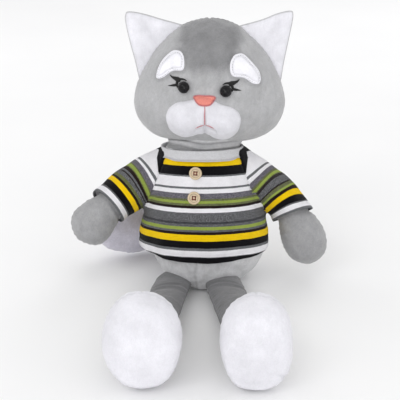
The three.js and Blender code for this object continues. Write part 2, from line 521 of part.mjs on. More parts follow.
// --- tail ---
const tail = body("tail");
const tailMouth = half([TAIL_ROOT[0] + 1.2, TAIL_ROOT[1] - 2.4, TAIL_ROOT[2]], [0.5, -1, 0]);
add(tail, "tail_skin", cut(tailOuter, toSolid(grown(tailForm(12, 9), -SKIN - 0.2)), tailMouth), LILAC);
add(tail, "tail_stuffing", cut(toSolid(grown(tailForm(11, 9), -SKIN - 1.7)), tailMouth), FIBRE);

export default cat;
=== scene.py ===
import math
import bpy
import bmesh
import numpy as np
from mathutils import Vector, Matrix
from mathutils.bvhtree import BVHTree


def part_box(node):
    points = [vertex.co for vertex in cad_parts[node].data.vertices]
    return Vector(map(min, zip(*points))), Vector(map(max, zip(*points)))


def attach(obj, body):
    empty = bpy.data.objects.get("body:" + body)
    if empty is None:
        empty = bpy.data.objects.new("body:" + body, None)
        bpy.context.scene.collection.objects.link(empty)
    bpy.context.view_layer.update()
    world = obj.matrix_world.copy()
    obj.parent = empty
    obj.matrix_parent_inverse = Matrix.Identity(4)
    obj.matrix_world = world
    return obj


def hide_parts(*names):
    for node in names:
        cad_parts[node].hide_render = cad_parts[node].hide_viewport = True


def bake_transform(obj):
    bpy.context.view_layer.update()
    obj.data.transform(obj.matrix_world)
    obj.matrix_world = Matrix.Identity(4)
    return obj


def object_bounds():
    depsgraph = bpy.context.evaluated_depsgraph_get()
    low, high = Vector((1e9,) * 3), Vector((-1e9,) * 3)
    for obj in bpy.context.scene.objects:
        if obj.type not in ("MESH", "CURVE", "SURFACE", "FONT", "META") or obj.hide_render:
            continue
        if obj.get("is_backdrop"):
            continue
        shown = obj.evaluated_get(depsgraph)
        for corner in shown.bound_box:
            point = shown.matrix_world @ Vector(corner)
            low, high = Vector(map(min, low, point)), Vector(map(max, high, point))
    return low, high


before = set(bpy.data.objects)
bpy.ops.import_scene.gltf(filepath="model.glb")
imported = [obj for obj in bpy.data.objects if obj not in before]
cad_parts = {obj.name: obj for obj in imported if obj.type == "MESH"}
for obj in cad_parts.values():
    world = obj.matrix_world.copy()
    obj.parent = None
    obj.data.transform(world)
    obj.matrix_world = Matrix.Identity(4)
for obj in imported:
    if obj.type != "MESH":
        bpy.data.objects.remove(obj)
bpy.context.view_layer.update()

# Lengths below are in millimetres and turn to metres when a mesh is made.
MM = 0.001
LEAN = math.radians(12)
UP = np.array([0, math.sin(LEAN), math.cos(LEAN)])
FORE = np.array([0, -math.cos(LEAN), math.sin(LEAN)])
HEAD = np.array([8.6, 30, 181])
NECK = np.array([2, 25.4, 119.3])
HIP = {"left": np.array([20, -25, 13]), "right": np.array([-23.5, -25, 13])}
ANKLE = {"left": np.array([41, -169, 19]), "right": np.array([-44, -169, 19])}
TAIL_ROOT = np.array([-8, 43, 17])
SIDES = ("left", "right")
SIGN = {"left": 1, "right": -1}

# ------------------------------------------------------------------ noise
def vnoise(p, scale, seed=0):
    q = np.asarray(p, float) / scale + 37.7 * (seed + 1)
    i = np.floor(q).astype(np.int64)
    f = q - i
    f = f * f * (3 - 2 * f)

    def h(a, b, c):
        n = (a * 374761393 + b * 668265263 + c * 362437 + seed * 1013904223) & 0xFFFFFFFF
        n = ((n ^ (n >> 13)) * 1274126177) & 0xFFFFFFFF
        n = ((n ^ (n >> 16)) * 668265263) & 0xFFFFFFFF
        return ((n ^ (n >> 15)) & 0xFFFF) / 32767.5 - 1

    x, y, z = i[:, 0], i[:, 1], i[:, 2]
    out = 0
    for dx in (0, 1):
        wx = f[:, 0] if dx else 1 - f[:, 0]
        for dy in (0, 1):
            wy = f[:, 1] if dy else 1 - f[:, 1]
            for dz in (0, 1):
                wz = f[:, 2] if dz else 1 - f[:, 2]
                out = out + wx * wy * wz * h(x + dx, y + dy, z + dz)
    return out


def fbm(p, scale, seed=0, octaves=3):
    return sum(vnoise(p, scale / 2**k, seed + 7 * k) * 0.5**k for k in range(octaves))


def sstep(x, a, b):
    t = np.clip((np.asarray(x, float) - a) / (b - a), 0, 1)
    return t * t * (3 - 2 * t)


def bell(d, w):
    return np.exp(-((np.asarray(d) / w) ** 2))


# ------------------------------------------------------------------ stuffed forms
def catmull(rows, u, first, last):
    rows = np.asarray(rows, float)
    n = len(rows) - 1
    x = np.minimum(np.asarray(u, float) * n, n - 1e-9)
    i = np.floor(x).astype(int)
    t = (x - i)[:, None]
    e = np.vstack([first, rows, last])
    a, b, c, d = e[i], e[i + 1], e[i + 2], e[i + 3]
    return 0.5 * (2 * b + (c - a) * t + (2 * a - 5 * b + 4 * c - d) * t * t + (3 * b - a - 3 * c + d) * t**3)


class Form:
    """A sphere drawn out along a curved middle line; each row is x, y, z, half width, front depth, back depth."""

    def __init__(self, rows, front=(0, -1, 0)):
        self.rows = np.asarray(rows, float)
        self.front = np.asarray(front, float)

    def size(self, u):
        r = self.rows
        flip = np.array([1, 1, 1, -1, -1, -1])
        return catmull(r, u, r[1] * flip, r[-2] * flip)

    def middle(self, u):
        r = self.rows
        return catmull(r, u, 2 * r[0] - r[1], 2 * r[-1] - r[-2])[:, :3]

    def frames(self, u):
        u = np.asarray(u, float)
        t = self.middle(np.minimum(1, u + 0.02)) - self.middle(np.maximum(0, u - 0.02))
        t /= np.linalg.norm(t, axis=1)[:, None]
        f = self.front - t * (t @ self.front)[:, None]
        f /= np.linalg.norm(f, axis=1)[:, None]
        return t, f, -np.cross(f, t)

    def build(self, nu, nv, power=1.0):
        fine = np.linspace(0, 1, 1600)
        s = self.size(fine)
        step = np.sqrt((np.diff(s[:, :3], axis=0) ** 2).sum(1) + np.diff(s[:, 3:5].mean(1)) ** 2)
        arc = np.r_[0, np.cumsum(step)]
        u = np.interp(np.linspace(0, arc[-1], nu + 2)[1:-1], arc, fine)
        s = self.size(u)
        _, f, r = self.frames(u)
        phi = np.linspace(-math.pi, math.pi, nv, endpoint=False)
        cx, cz = np.sin(phi), np.cos(phi)
        cx, cz = np.sign(cx) * np.abs(cx) ** power, np.sign(cz) * np.abs(cz) ** power
        depth = np.where(cz[None, :] > 0, s[:, 4:5], s[:, 5:6])
        p = s[:, None, :3] + r[:, None, :] * (cx[None, :] * s[:, 3:4])[:, :, None] + f[:, None, :] * (cz[None, :] * depth)[:, :, None]
        g = Grid(p.reshape(-1, 3), nu, nv, self.rows[0, :3], self.rows[-1, :3])
        g.u = np.r_[np.repeat(u, nv), 0, 1]
        g.phi = np.r_[np.tile(phi, nu), 0, 0]
        g.arc = np.r_[np.repeat(np.linspace(0, arc[-1], nu + 2)[1:-1], nv), 0, arc[-1]]
        g.radius = np.r_[np.repeat((s[:, 3] + s[:, 4]) / 2, nv), 0, 0]
        return g


class Shape:
    """Points and faces, with a normal for each point."""

    def __init__(self, p, faces):
        self.p = np.asarray(p, float)
        self.faces = faces
        self.extra = {}

    def normals(self):
        n = np.zeros_like(self.p)
        quads = np.array([f for f in self.faces if len(f) == 4], int).reshape(-1, 4)
        tris = np.array([f for f in self.faces if len(f) == 3], int).reshape(-1, 3)
        for q, (a, b, c, d) in ((quads, (0, 2, 1, 3)), (tris, (0, 1, 0, 2))):
            if not len(q):
                continue
            v = np.cross(self.p[q[:, b]] - self.p[q[:, a]], self.p[q[:, d]] - self.p[q[:, c]])
            for k in range(q.shape[1]):
                np.add.at(n, q[:, k], v)
        n /= np.maximum(np.linalg.norm(n, axis=1), 1e-12)[:, None]
        return n

    def push(self, d):
        self.p = self.p + self.normals() * np.asarray(d)[:, None]


class Grid(Shape):
    def __init__(self, p, nu, nv, start, end):
        k = np.arange(nv)
        k2 = (k + 1) % nv
        quads = []
        for j in range(nu - 1):
            quads.append(np.stack([j * nv + k, j * nv + k2, (j + 1) * nv + k2, (j + 1) * nv + k], 1))
        faces = np.vstack(quads).tolist()
        a, b = nu * nv, nu * nv + 1
        faces += np.stack([np.full(nv, a), k2, k], 1).tolist()
        last = (nu - 1) * nv
        faces += np.stack([np.full(nv, b), last + k, last + k2], 1).tolist()
        super().__init__(np.vstack([p, start, end]), faces)


def keep_faces(shape, mask):
    """Only the faces whose points all lie in the mask, with unused points dropped."""
    faces = [f for f in shape.faces if all(mask[i] for i in f)]
    used = np.zeros(len(shape.p), bool)
    for f in faces:
        used[f] = True
    index = np.cumsum(used) - 1
    out = Shape(shape.p[used], [[int(index[i]) for i in f] for f in faces])
    for key, v in shape.__dict__.items():
        if isinstance(v, np.ndarray) and len(v) == len(shape.p) and key != "p":
            setattr(out, key, v[used])
    out.extra = {k: v[used] for k, v in shape.extra.items()}
    return out


# ------------------------------------------------------------------ making objects
def make(name, shape, materials, tone=None, floats=None, face_material=None, smooth=True):
    """A mesh object in metres. tone is a colour for each point, floats are named numbers for each point."""
    mesh = bpy.data.meshes.new(name)
    mesh.from_pydata((shape.p * MM).tolist(), [], shape.faces)
    mesh.update()
    o = bpy.data.objects.new(name, mesh)
    bpy.context.scene.collection.objects.link(o)
    for m in materials if isinstance(materials, (list, tuple)) else [materials]:
        mesh.materials.append(m)
    dress(o, shape.p, tone, floats)
    if face_material is not None:
        mesh.polygons.foreach_set("material_index", np.asarray(face_material, np.int32))
    if smooth:
        mesh.polygons.foreach_set("use_smooth", np.ones(len(mesh.polygons), bool))
    return o


def dress(o, rest, tone=None, floats=None):
    mesh = o.data
    a = mesh.attributes.new("rest", "FLOAT_VECTOR", "POINT")
    a.data.foreach_set("vector", np.asarray(rest, np.float32).ravel())
    if tone is not None:
        c = mesh.color_attributes.new("tone", "BYTE_COLOR", "CORNER")
        loops = np.zeros(len(mesh.loops), np.int32)
        mesh.loops.foreach_get("vertex_index", loops)
        rgba = np.ones((len(mesh.loops), 4), np.float32)
        rgba[:, :3] = np.clip(tone[loops], 0, 1)
        c.data.foreach_set("color", rgba.ravel())
    for key, v in (floats or {}).items():
        f = mesh.attributes.new(key, "FLOAT", "POINT")
        f.data.foreach_set("value", np.asarray(v, np.float32))


def tree_of(*objects):
    """A ray-cast tree in millimetres over several shapes."""
    verts, faces, base = [], [], 0
    for s in objects:
        verts += s.p.tolist()
        faces += [[i + base for i in f] for f in s.faces]
        base = len(verts)
    return BVHTree.FromPolygons(verts, faces)


def fore_hit(tree, x, z, y0=-140):
    hit = tree.ray_cast(Vector((x, y0, z)), Vector((0, 1, 0)))
    return (np.array(hit[0]), np.array(hit[1])) if hit[0] is not None else (None, None)


# ------------------------------------------------------------------ materials
def srgb(c):
    return tuple(((v + 0.055) / 1.055) ** 2.4 if v > 0.04045 else v / 12.92 for v in c)


class Nodes:
    def __init__(self, name):
        self.m = bpy.data.materials.new(name)
        self.m.use_nodes = True
        self.t = self.m.node_tree
        self.b = self.t.nodes["Principled BSDF"]

    def add(self, kind, **values):
        n = self.t.nodes.new(kind)
        for k, v in values.items():
            setattr(n, k, v)
        return n

    def put(self, socket, value):
        if isinstance(value, bpy.types.NodeSocket):
            self.t.links.new(value, socket)
        else:
            socket.default_value = value

    def attribute(self, name, out="Vector"):
        return self.add("ShaderNodeAttribute", attribute_name=name).outputs[out]

    def noise(self, scale, detail=3.0, rough=0.55, vector=None, distortion=0.0):
        n = self.add("ShaderNodeTexNoise")
        n.inputs["Scale"].default_value = scale
        n.inputs["Detail"].default_value = detail
        n.inputs["Roughness"].default_value = rough
        n.inputs["Distortion"].default_value = distortion
        self.put(n.inputs["Vector"], vector if vector is not None else self.attribute("rest"))
        return n.outputs["Fac"]

    def math(self, op, a, b=0.0, clamp=False):
        n = self.add("ShaderNodeMath", operation=op, use_clamp=clamp)
        self.put(n.inputs[0], a)
        self.put(n.inputs[1], b)
        return n.outputs[0]

    def span(self, v, a, b, c, d):
        n = self.add("ShaderNodeMapRange")
        n.inputs["From Min"].default_value = a
        n.inputs["From Max"].default_value = b
        n.inputs["To Min"].default_value = c
        n.inputs["To Max"].default_value = d
        self.put(n.inputs["Value"], v)
        return n.outputs["Result"]

    def mix(self, fac, a, b, blend="MIX"):
        n = self.add("ShaderNodeMix", data_type="RGBA", blend_type=blend)
        self.put(n.inputs["Factor"], fac)
        self.put(n.inputs[6], a)
        self.put(n.inputs[7], b)
        return n.outputs[2]

    def scaled(self, v, x, y, z):
        n = self.add("ShaderNodeVectorMath", operation="MULTIPLY")
        self.put(n.inputs[0], v)
        n.inputs[1].default_value = (x, y, z)
        return n.outputs[0]

    def bump(self, height, strength, distance, normal=None):
        n = self.add("ShaderNodeBump")
        n.inputs["Strength"].default_value = strength
        n.inputs["Distance"].default_value = distance
        self.put(n.inputs["Height"], height)
        if normal is not None:
            self.put(n.inputs["Normal"], normal)
        return n.outputs["Normal"]


def set_shader(b, **values):
    names = {
        "rough": "Roughness", "spec": "Specular IOR Level", "sheen": "Sheen Weight", "sheen_rough": "Sheen Roughness",
        "coat": "Coat Weight", "coat_rough": "Coat Roughness", "ior": "IOR",
    }
    for k, v in values.items():
        if k == "sheen_tint":
            b.inputs["Sheen Tint"].default_value = (*v, 1)
        else:
            b.inputs[names[k]].default_value = v


def plush(name, contrast=0.10, sheen=0.35, pile=1.0):
    """Short pile: the tone comes from the surface, the fibres, lie and brushing from noise; the lighter and darker
    patches of lie and brushing are painted sheen of the pile.
    """
    n = Nodes(name)
    tone = n.attribute("tone", "Color")
    rest = n.attribute("rest")
    lie = n.noise(0.07, 3, 0.6)
    brush = n.noise(0.32, 4, 0.6, n.scaled(rest, 1.0, 1.0, 0.55), 0.6)
    fibre = n.noise(1.9 / pile, 3, 0.75, n.scaled(rest, 1.0, 1.0, 0.7))
    # lie and brush are random patches of pile direction; their lighter and darker tone is painted sheen
    c = n.mix(1.0, tone, n.span(lie, 0.3, 0.7, 1 - contrast * 0.6, 1 + contrast * 0.5), "MULTIPLY")
    c = n.mix(1.0, c, n.span(brush, 0.3, 0.7, 1 - contrast * 0.7, 1 + contrast * 0.55), "MULTIPLY")
    c = n.mix(1.0, c, n.span(fibre, 0.28, 0.72, 1 - contrast * 1.5, 1 + contrast * 1.1), "MULTIPLY")
    n.put(n.b.inputs["Base Color"], c)
    h = n.math("ADD", n.math("MULTIPLY", fibre, 0.6), n.math("MULTIPLY", brush, 0.9))
    n.put(n.b.inputs["Normal"], n.bump(h, 0.55, 0.0009))
    n.put(n.b.inputs["Roughness"], n.span(brush, 0.3, 0.7, 0.88, 1.0))
    set_shader(n.b, spec=0.12, sheen=sheen, sheen_rough=0.45, sheen_tint=(1, 1, 1))
    return n.m


# stripes as (end, colour, heather share) going up the panel, in millimetres
YELLOW = (1.0, 0.835, 0.025)
BLACK = (0.022, 0.016, 0.035)
CREAM = (0.985, 0.98, 0.995)
LINE = (0.44, 0.45, 0.46)
HEATHER = (0.385, 0.39, 0.40)
LAVENDER = (0.44, 0.42, 0.47)
OLIVE = (0.424, 0.448, 0.218)
LIME = (0.636, 0.717, 0.286)
BROWN = (0.13, 0.08, 0.07)
BODY_STRIPES = [
    (31.0, BLACK, 0), (31.6, HEATHER, 0.5), (37.3, CREAM, 0), (39.4, LINE, 0.3), (45.6, BLACK, 0), (51.4, YELLOW, 0),
    (53.6, BROWN, 0), (55.3, HEATHER, 0.8), (58.2, LIME, 0.3), (60.6, HEATHER, 0.8), (62.2, (0.2, 0.2, 0.22), 0.4),
    (70.2, HEATHER, 1), (74.0, CREAM, 0), (76.4, BROWN, 0), (78.3, OLIVE, 0.6), (80.7, LIME, 0.3), (82.6, OLIVE, 0.6),
    (87.1, LAVENDER, 0.9), (90.8, CREAM, 0), (92.9, LINE, 0.4), (101.8, CREAM, 0), (103.0, LINE, 0.6), (111.0, BLACK, 0), (140, YELLOW, 0),
]
SLEEVE_STRIPES = {
    "right": [
        (17, BLACK, 0), (35.0, CREAM, 0), (37.2, LINE, 0.3), (39.6, CREAM, 0), (44.2, LAVENDER, 0.8), (45.7, OLIVE, 0.5), (48.4, LIME, 0.3),
        (49.2, OLIVE, 0.5), (51.8, BROWN, 0), (53.2, LINE, 0.8), (54.6, BROWN, 0.2), (57.5, HEATHER, 1), (59.4, OLIVE, 0.3), (60.2, OLIVE, 0.5), (62.6, BROWN, 0), (67.5, YELLOW, 0),
        (74.2, BLACK, 0), (75.4, HEATHER, 0.4), (80.1, CREAM, 0), (90, LINE, 0.5),
    ],
    "left": [
        (17, BLACK, 0), (35.5, CREAM, 0), (37.5, LINE, 0.3), (40.6, CREAM, 0), (44.6, LAVENDER, 0.8), (46.6, OLIVE, 0.5), (49.1, LIME, 0.3),
        (49.8, OLIVE, 0.4), (52.2, BROWN, 0.2), (54.0, HEATHER, 1), (58.0, HEATHER, 1), (59.7, BROWN, 0.2), (62.6, OLIVE, 0.6), (64.8, LIME, 0.3), (67.6, BROWN, 0), (72.6, YELLOW, 0),
        (77.8, BLACK, 0), (79.0, HEATHER, 0.4), (83.8, CREAM, 0), (95, LINE, 0.5),
    ],
}


def knit(name, stripes, span):
    """Fine jersey: yarn-dyed stripes along "course", ribs of stitches along "wale"."""
    n = Nodes(name)
    low, high = span
    course = n.attribute("course", "Fac")
    wale = n.attribute("wale", "Fac")
    loop = n.math("ABSOLUTE", n.math("SUBTRACT", n.math("FRACT", n.math("DIVIDE", wale, 1.5)), 0.5))
    wobble = n.math("MULTIPLY", n.math("SUBTRACT", n.noise(0.5, 2), 0.5), 0.5)
    c = n.math("ADD", n.math("ADD", course, wobble), n.math("MULTIPLY", loop, 0.55))
    f = n.span(c, low, high, 0, 1)
    ramp = n.add("ShaderNodeValToRGB")
    heather = n.add("ShaderNodeValToRGB")
    for r in (ramp, heather):
        r.color_ramp.interpolation = "CONSTANT"
    start = low
    for k, (end, colour, share) in enumerate(stripes):
        at = min(1.0, max(0.0, (start - low) / (high - low)))
        for r, v in ((ramp, (*srgb(colour), 1)), (heather, (share, share, share, 1))):
            e = r.color_ramp.elements[k] if k < 2 else r.color_ramp.elements.new(at)
            e.position = at
            e.color = v
        start = end
    n.put(ramp.inputs[0], f)
    n.put(heather.inputs[0], f)
    rows = n.math("FRACT", n.math("DIVIDE", n.math("ADD", course, n.math("MULTIPLY", loop, 1.5)), 1.15))
    arch = n.math("SINE", n.math("MULTIPLY", rows, math.pi))
    leg = n.math("SINE", n.math("MULTIPLY", n.math("FRACT", n.math("DIVIDE", wale, 0.75)), math.pi))
    stitch = n.math("MULTIPLY", arch, leg)
    fleck = n.noise(1.3, 4, 0.8)
    pale = n.mix(n.span(fleck, 0.46, 0.62, 0, 1), (0.03, 0.03, 0.035, 1), (0.42, 0.42, 0.44, 1))
    amount = n.math("MULTIPLY", heather.outputs[0], 0.55)
    col = n.mix(amount, ramp.outputs[0], pale)
    # painted shade: darker in the gaps between the stitches
    col = n.mix(1.0, col, n.span(stitch, 0.0, 0.9, 0.72, 1.06), "MULTIPLY")
    col = n.mix(1.0, col, n.span(n.noise(0.09, 3, 0.6), 0.3, 0.7, 0.92, 1.04), "MULTIPLY")
    n.put(n.b.inputs["Base Color"], col)
    h = n.math("ADD", stitch, n.math("MULTIPLY", n.noise(3.0, 2, 0.7), 0.35))
    n.put(n.b.inputs["Normal"], n.bump(h, 0.6, 0.0006))
    n.put(n.b.inputs["Roughness"], n.span(fleck, 0.3, 0.7, 0.78, 0.92))
    set_shader(n.b, spec=0.12, sheen=0.05, sheen_rough=0.5, sheen_tint=(1, 1, 1))
    return n.m


def jersey(name, colour, gauge=0.9):
    """A plain smooth knitted band."""
    n = Nodes(name)
    wale = n.attribute("wale", "Fac")
    course = n.attribute("course", "Fac")
    ribs = n.math("SINE", n.math("MULTIPLY", n.math("FRACT", n.math("DIVIDE", wale, gauge)), math.pi))
    rows = n.math("SINE", n.math("MULTIPLY", n.math("FRACT", n.math("DIVIDE", course, gauge)), math.pi))
    stitch = n.math("ADD", n.math("MULTIPLY", ribs, 0.7), n.math("MULTIPLY", rows, 0.3))
    fleck = n.noise(1.5, 4, 0.8)
    col = n.mix(n.span(fleck, 0.35, 0.65, 0, 1), (*srgb([v * 0.90 for v in colour]), 1), (*srgb([min(1, v * 1.07) for v in colour]), 1))
    # painted shade: darker in the gaps between the stitches
    col = n.mix(1.0, col, n.span(stitch, 0.1, 0.9, 0.86, 1.04), "MULTIPLY")
    col = n.mix(1.0, col, n.attribute("tone", "Color"), "MULTIPLY")
    n.put(n.b.inputs["Base Color"], col)
    n.put(n.b.inputs["Normal"], n.bump(n.math("ADD", stitch, n.math("MULTIPLY", fleck, 0.4)), 0.5, 0.0005))
    n.put(n.b.inputs["Roughness"], n.span(fleck, 0.3, 0.7, 0.82, 0.95))
    set_shader(n.b, spec=0.15, sheen=0.2, sheen_rough=0.5, sheen_tint=(1, 1, 1))
    return n.m


def thread_material(name, colour, sheen=0.1, rough=0.5):
    n = Nodes(name)
    streak = n.noise(1.6, 3, 0.7)
    dark, light = [v * 0.78 for v in colour], [min(1, v * 1.10) for v in colour]
    n.put(n.b.inputs["Base Color"], n.mix(n.span(streak, 0.35, 0.65, 0, 1), (*srgb(dark), 1), (*srgb(light), 1)))
    n.put(n.b.inputs["Normal"], n.bump(n.noise(4.5, 2, 0.6), 0.4, 0.0003))
    n.put(n.b.inputs["Roughness"], n.span(streak, 0.3, 0.7, rough - 0.06, rough + 0.1))
    set_shader(n.b, spec=0.35, sheen=sheen, sheen_rough=0.4, sheen_tint=(1, 1, 1))
    return n.m


def satin_material(name, colour, edge):
    """Embroidery in satin stitch, darker where the outline thread runs."""
    n = Nodes(name)
    rim = n.attribute("rim", "Fac")
    across = n.attribute("across", "Fac")
    run = n.math("SINE", n.math("MULTIPLY", n.math("FRACT", n.math("DIVIDE", across, 0.62)), math.pi))
    long = n.noise(1.0, 3, 0.7, n.scaled(n.attribute("rest"), 2.6, 1.0, 0.35))
    c = n.mix(n.span(long, 0.32, 0.68, 0, 1), (*srgb([v * 0.9 for v in colour]), 1), (*srgb([min(1, v * 1.06) for v in colour]), 1))
    c = n.mix(n.span(rim, 0.2, 0.9, 0, 1), c, (*srgb(edge), 1))
    # painted shade: darker in the valleys between the satin threads
    c = n.mix(1.0, c, n.span(run, 0.0, 0.8, 0.74, 1.04), "MULTIPLY")
    n.put(n.b.inputs["Base Color"], c)
    n.put(n.b.inputs["Normal"], n.bump(n.math("ADD", run, n.math("MULTIPLY", long, 0.5)), 0.55, 0.0004))
    n.put(n.b.inputs["Roughness"], n.span(long, 0.3, 0.7, 0.42, 0.6))
    set_shader(n.b, spec=0.4, sheen=0.1, sheen_rough=0.4, sheen_tint=(1, 1, 1))
    return n.m


def wood_material(name):
    n = Nodes(name)
    rest = n.attribute("rest")
    grain = n.noise(0.9, 5, 0.65, n.scaled(rest, 0.5, 1.0, 3.2), 0.8)
    pores = n.noise(5.0, 3, 0.7, n.scaled(rest, 0.35, 1.0, 2.4))
    c = n.mix(n.span(grain, 0.3, 0.7, 0, 1), (*srgb((0.72, 0.62, 0.48)), 1), (*srgb((0.93, 0.88, 0.78)), 1))
    c = n.mix(n.span(pores, 0.62, 0.72, 0, 0.5), c, (*srgb((0.50, 0.38, 0.26)), 1))
    c = n.mix(1.0, c, n.attribute("tone", "Color"), "MULTIPLY")
    n.put(n.b.inputs["Base Color"], c)
    n.put(n.b.inputs["Roughness"], n.span(grain, 0.3, 0.7, 0.38, 0.55))
    n.put(n.b.inputs["Normal"], n.bump(n.math("ADD", grain, pores), 0.25, 0.0003))
    set_shader(n.b, spec=0.45, coat=0.15, coat_rough=0.3)
    return n.m


def eye_material(name):
    n = Nodes(name)
    dust = n.noise(0.8, 4, 0.6)
    depth = n.noise(0.25, 2, 0.5)
    n.put(n.b.inputs["Base Color"], n.mix(n.span(depth, 0.3, 0.7, 0, 1), (0.002, 0.002, 0.0025, 1), (0.010, 0.009, 0.011, 1)))
    n.put(n.b.inputs["Roughness"], n.span(dust, 0.35, 0.75, 0.05, 0.14))
    n.put(n.b.inputs["Normal"], n.bump(n.noise(0.5, 2, 0.5), 0.04, 0.0004))
    set_shader(n.b, spec=0.16, coat=0.10, coat_rough=0.03)
    return n.m


PLUSH = plush("plush_pile", 0.125)
PLUSH_WHITE = plush("plush_white_pile", 0.055, 0.25)
PLUSH_TAIL = plush("plush_tail_pile", 0.10, 0.4, 1.4)
KNIT_BODY = knit("knit_body", BODY_STRIPES, (20, 140))
KNIT_SLEEVE = {s: knit("knit_sleeve_" + s, SLEEVE_STRIPES[s], (0, 100)) for s in SIDES}
JERSEY = jersey("collar_jersey", (0.79, 0.79, 0.80))
THREAD_WHITE = thread_material("thread_white", (0.93, 0.92, 0.94))
THREAD_GREY = thread_material("thread_grey", (0.62, 0.62, 0.64))
THREAD_PINK = thread_material("thread_pink", (0.78, 0.52, 0.54))
THREAD_BROWN = thread_material("thread_brown", (0.46, 0.17, 0.10))
SATIN_PINK = satin_material("satin_pink", (0.93, 0.56, 0.51), (0.74, 0.38, 0.38))
SATIN_BLACK = satin_material("satin_black", (0.045, 0.04, 0.045), (0.02, 0.02, 0.02))
WOOD = wood_material("button_wood")
EYE = eye_material("eye_black")

GREY = np.array(srgb((0.735, 0.735, 0.742)))
CROWN = np.array(srgb((0.555, 0.555, 0.562)))
# painted shade: a darker copy of the grey plush, used for the legs, which sit in shade under the body and by the feet
SHADED_GREY = np.array(srgb((0.475, 0.475, 0.485)))
WHITE = np.array(srgb((0.905, 0.902, 0.925)))
LILAC = np.array(srgb((0.735, 0.725, 0.765)))


def lumps(p, seed, big=0.7, small=0.16):
    return big * fbm(p, 24, seed, 2) + small * fbm(p, 6.5, seed + 3, 2)


def seam(d, along, depth=0.9, width=1.0, pucker=0.35, pitch=5.5, reach=5.0):
    """How far a sewn seam pulls the cloth in: d is the distance across it, along the distance down it."""
    groove = -depth * bell(d, width)
    folds = pucker * np.cos(2 * math.pi * along / pitch + 1.3 * np.sin(along / 11.0)) * np.exp(-np.abs(d) / reach) * (1 - bell(d, width * 0.8))
    return groove + folds


# painted shade: crease_shade darkens the tone by amount where seams, creases and folds lie in shade; mottle is random
# tone variation
def shade(base, n, crease_shade=None, mottle=None, amount=0.3):
    tone = np.repeat(base[None, :], n, 0) if base.ndim == 1 else base.copy()
    if mottle is not None:
        tone *= (1 + 0.06 * mottle)[:, None]
    if crease_shade is not None:
        tone *= (1 - amount * crease_shade)[:, None]
    return tone


# ------------------------------------------------------------------ tables
TRUNK_S = np.array([
    [-9, 0, 0, 0], [-5, 24, 25, 24], [3, 34.5, 36.5, 35], [12, 42.5, 42.5, 40], [23, 51, 46, 43],
    [35, 56.3, 47.5, 43], [47, 57, 46.5, 42], [60, 54, 44, 41], [74, 50, 41, 39.5],
    [89, 47, 38, 37.5], [102, 44.5, 36, 35.5], [113, 41, 34.5, 34], [123, 35, 32, 32], [131, 23, 22, 22], [134, 0, 0, 0],
], float)


def trunk_x(s):
    s = np.asarray(s, float)
    return np.where(s < 28, 4.6 * np.maximum(0, (s + 5) / 33), 4.6 - 1.6 * np.minimum(1, (s - 28) / 60))


TRUNK = Form([[float(trunk_x(s)), s * UP[1], s * UP[2], a, f, b] for s, a, f, b in TRUNK_S])
HEAD_Z = np.array([
    [-56.5, 0, 0, 0], [-54, 34, 10, 13], [-48, 50.5, 25, 29.5], [-39, 61, 40, 42.5], [-27, 67, 49.4, 50.2],
    [-14, 68.2, 52, 53.5], [2, 64, 51, 53.5], [15, 57.5, 47, 51], [27, 49.6, 41.5, 45.5], [38, 40, 34, 37.5],
    [47.5, 29.5, 26, 28.5], [53.8, 18, 16, 18], [57.8, 0, 0, 0],
], float)
HEAD_FORM = Form([[HEAD[0], HEAD[1], HEAD[2] + z, a, f, b] for z, a, f, b in HEAD_Z])


def rounds(rows):
    return [[x, y, z, r, r * 0.97, r * 0.97] for x, y, z, r in rows]


ARM_ROWS = {
    "left": rounds([[35.5, 22, 103, 0], [38.5, 21.6, 101.5, 10], [45.5, 20, 97, 15.4], [63.5, 18, 85.5, 13.8], [77.5, 15, 72.5, 14],
                    [86, 12.5, 59, 15.2], [92, 10.5, 47.5, 19.2], [97.5, 8.5, 34, 20.4], [101, 7, 21, 15.5], [102.5, 6, 13, 0]]),
    "right": rounds([[-31, 22, 103, 0], [-34, 21.5, 101, 10.5], [-41, 20, 97, 16.6], [-58, 18, 88, 16.4], [-73, 15, 77, 15.6],
                     [-84.5, 11.3, 67.8, 15.8], [-93, 7.3, 59.8, 18.4], [-101.5, 3, 51, 19.2], [-108, -0.5, 44.8, 14], [-112, -2.5, 41, 0]]),
}
SLEEVE_LINE = {
    "left": np.array([[20, 24, 112, 16], [32.5, 22.6, 105, 18], [45.5, 20, 97, 18.9], [63.5, 18, 85.5, 17.6], [77.5, 15, 72.5, 17.8], [85.5, 12.5, 59.8, 18.7], [91, 10.6, 49, 19], [97, 8.5, 37, 19]], float),
    "right": np.array([[-16, 24, 111, 16], [-28, 22.6, 104.5, 18], [-41, 20, 97, 20.6], [-58, 18, 88, 20.4], [-73, 15, 77, 19.4], [-84.5, 11.6, 68, 19.1], [-92, 8.4, 60.8, 19], [-101, 4.5, 52, 19]], float),
}


def line_coordinates(p, line):
    """For each point: distance along the middle line, offset from it, and its radius there."""
    p = np.asarray(p, float)
    fine = []
    seg = np.r_[0, np.cumsum(np.linalg.norm(np.diff(line[:, :3], axis=0), axis=1))]
    t = np.linspace(0, seg[-1], 400)
    ext = np.array([np.interp(t, seg, line[:, k]) for k in range(4)]).T
    k = np.ones(41) / 41
    soft = np.array([np.convolve(np.pad(ext[:, j], 20, mode="reflect", reflect_type="odd"), k, "valid") for j in range(4)]).T
    best = np.full(len(p), 1e18)
    index = np.zeros(len(p), int)
    for a in range(0, 400, 50):
        d = ((p[:, None, :] - soft[None, a:a + 50, :3]) ** 2).sum(2)
        j = d.argmin(1)
        v = d[np.arange(len(p)), j]
        m = v < best
        best[m], index[m] = v[m], j[m] + a
    tangent = np.gradient(soft[:, :3], axis=0)
    tangent /= np.linalg.norm(tangent, axis=1)[:, None]
    off = p - soft[index, :3]
    tt = t[index] + (off * tangent[index]).sum(1)
    return tt, off, soft[index, 3], tangent[index]


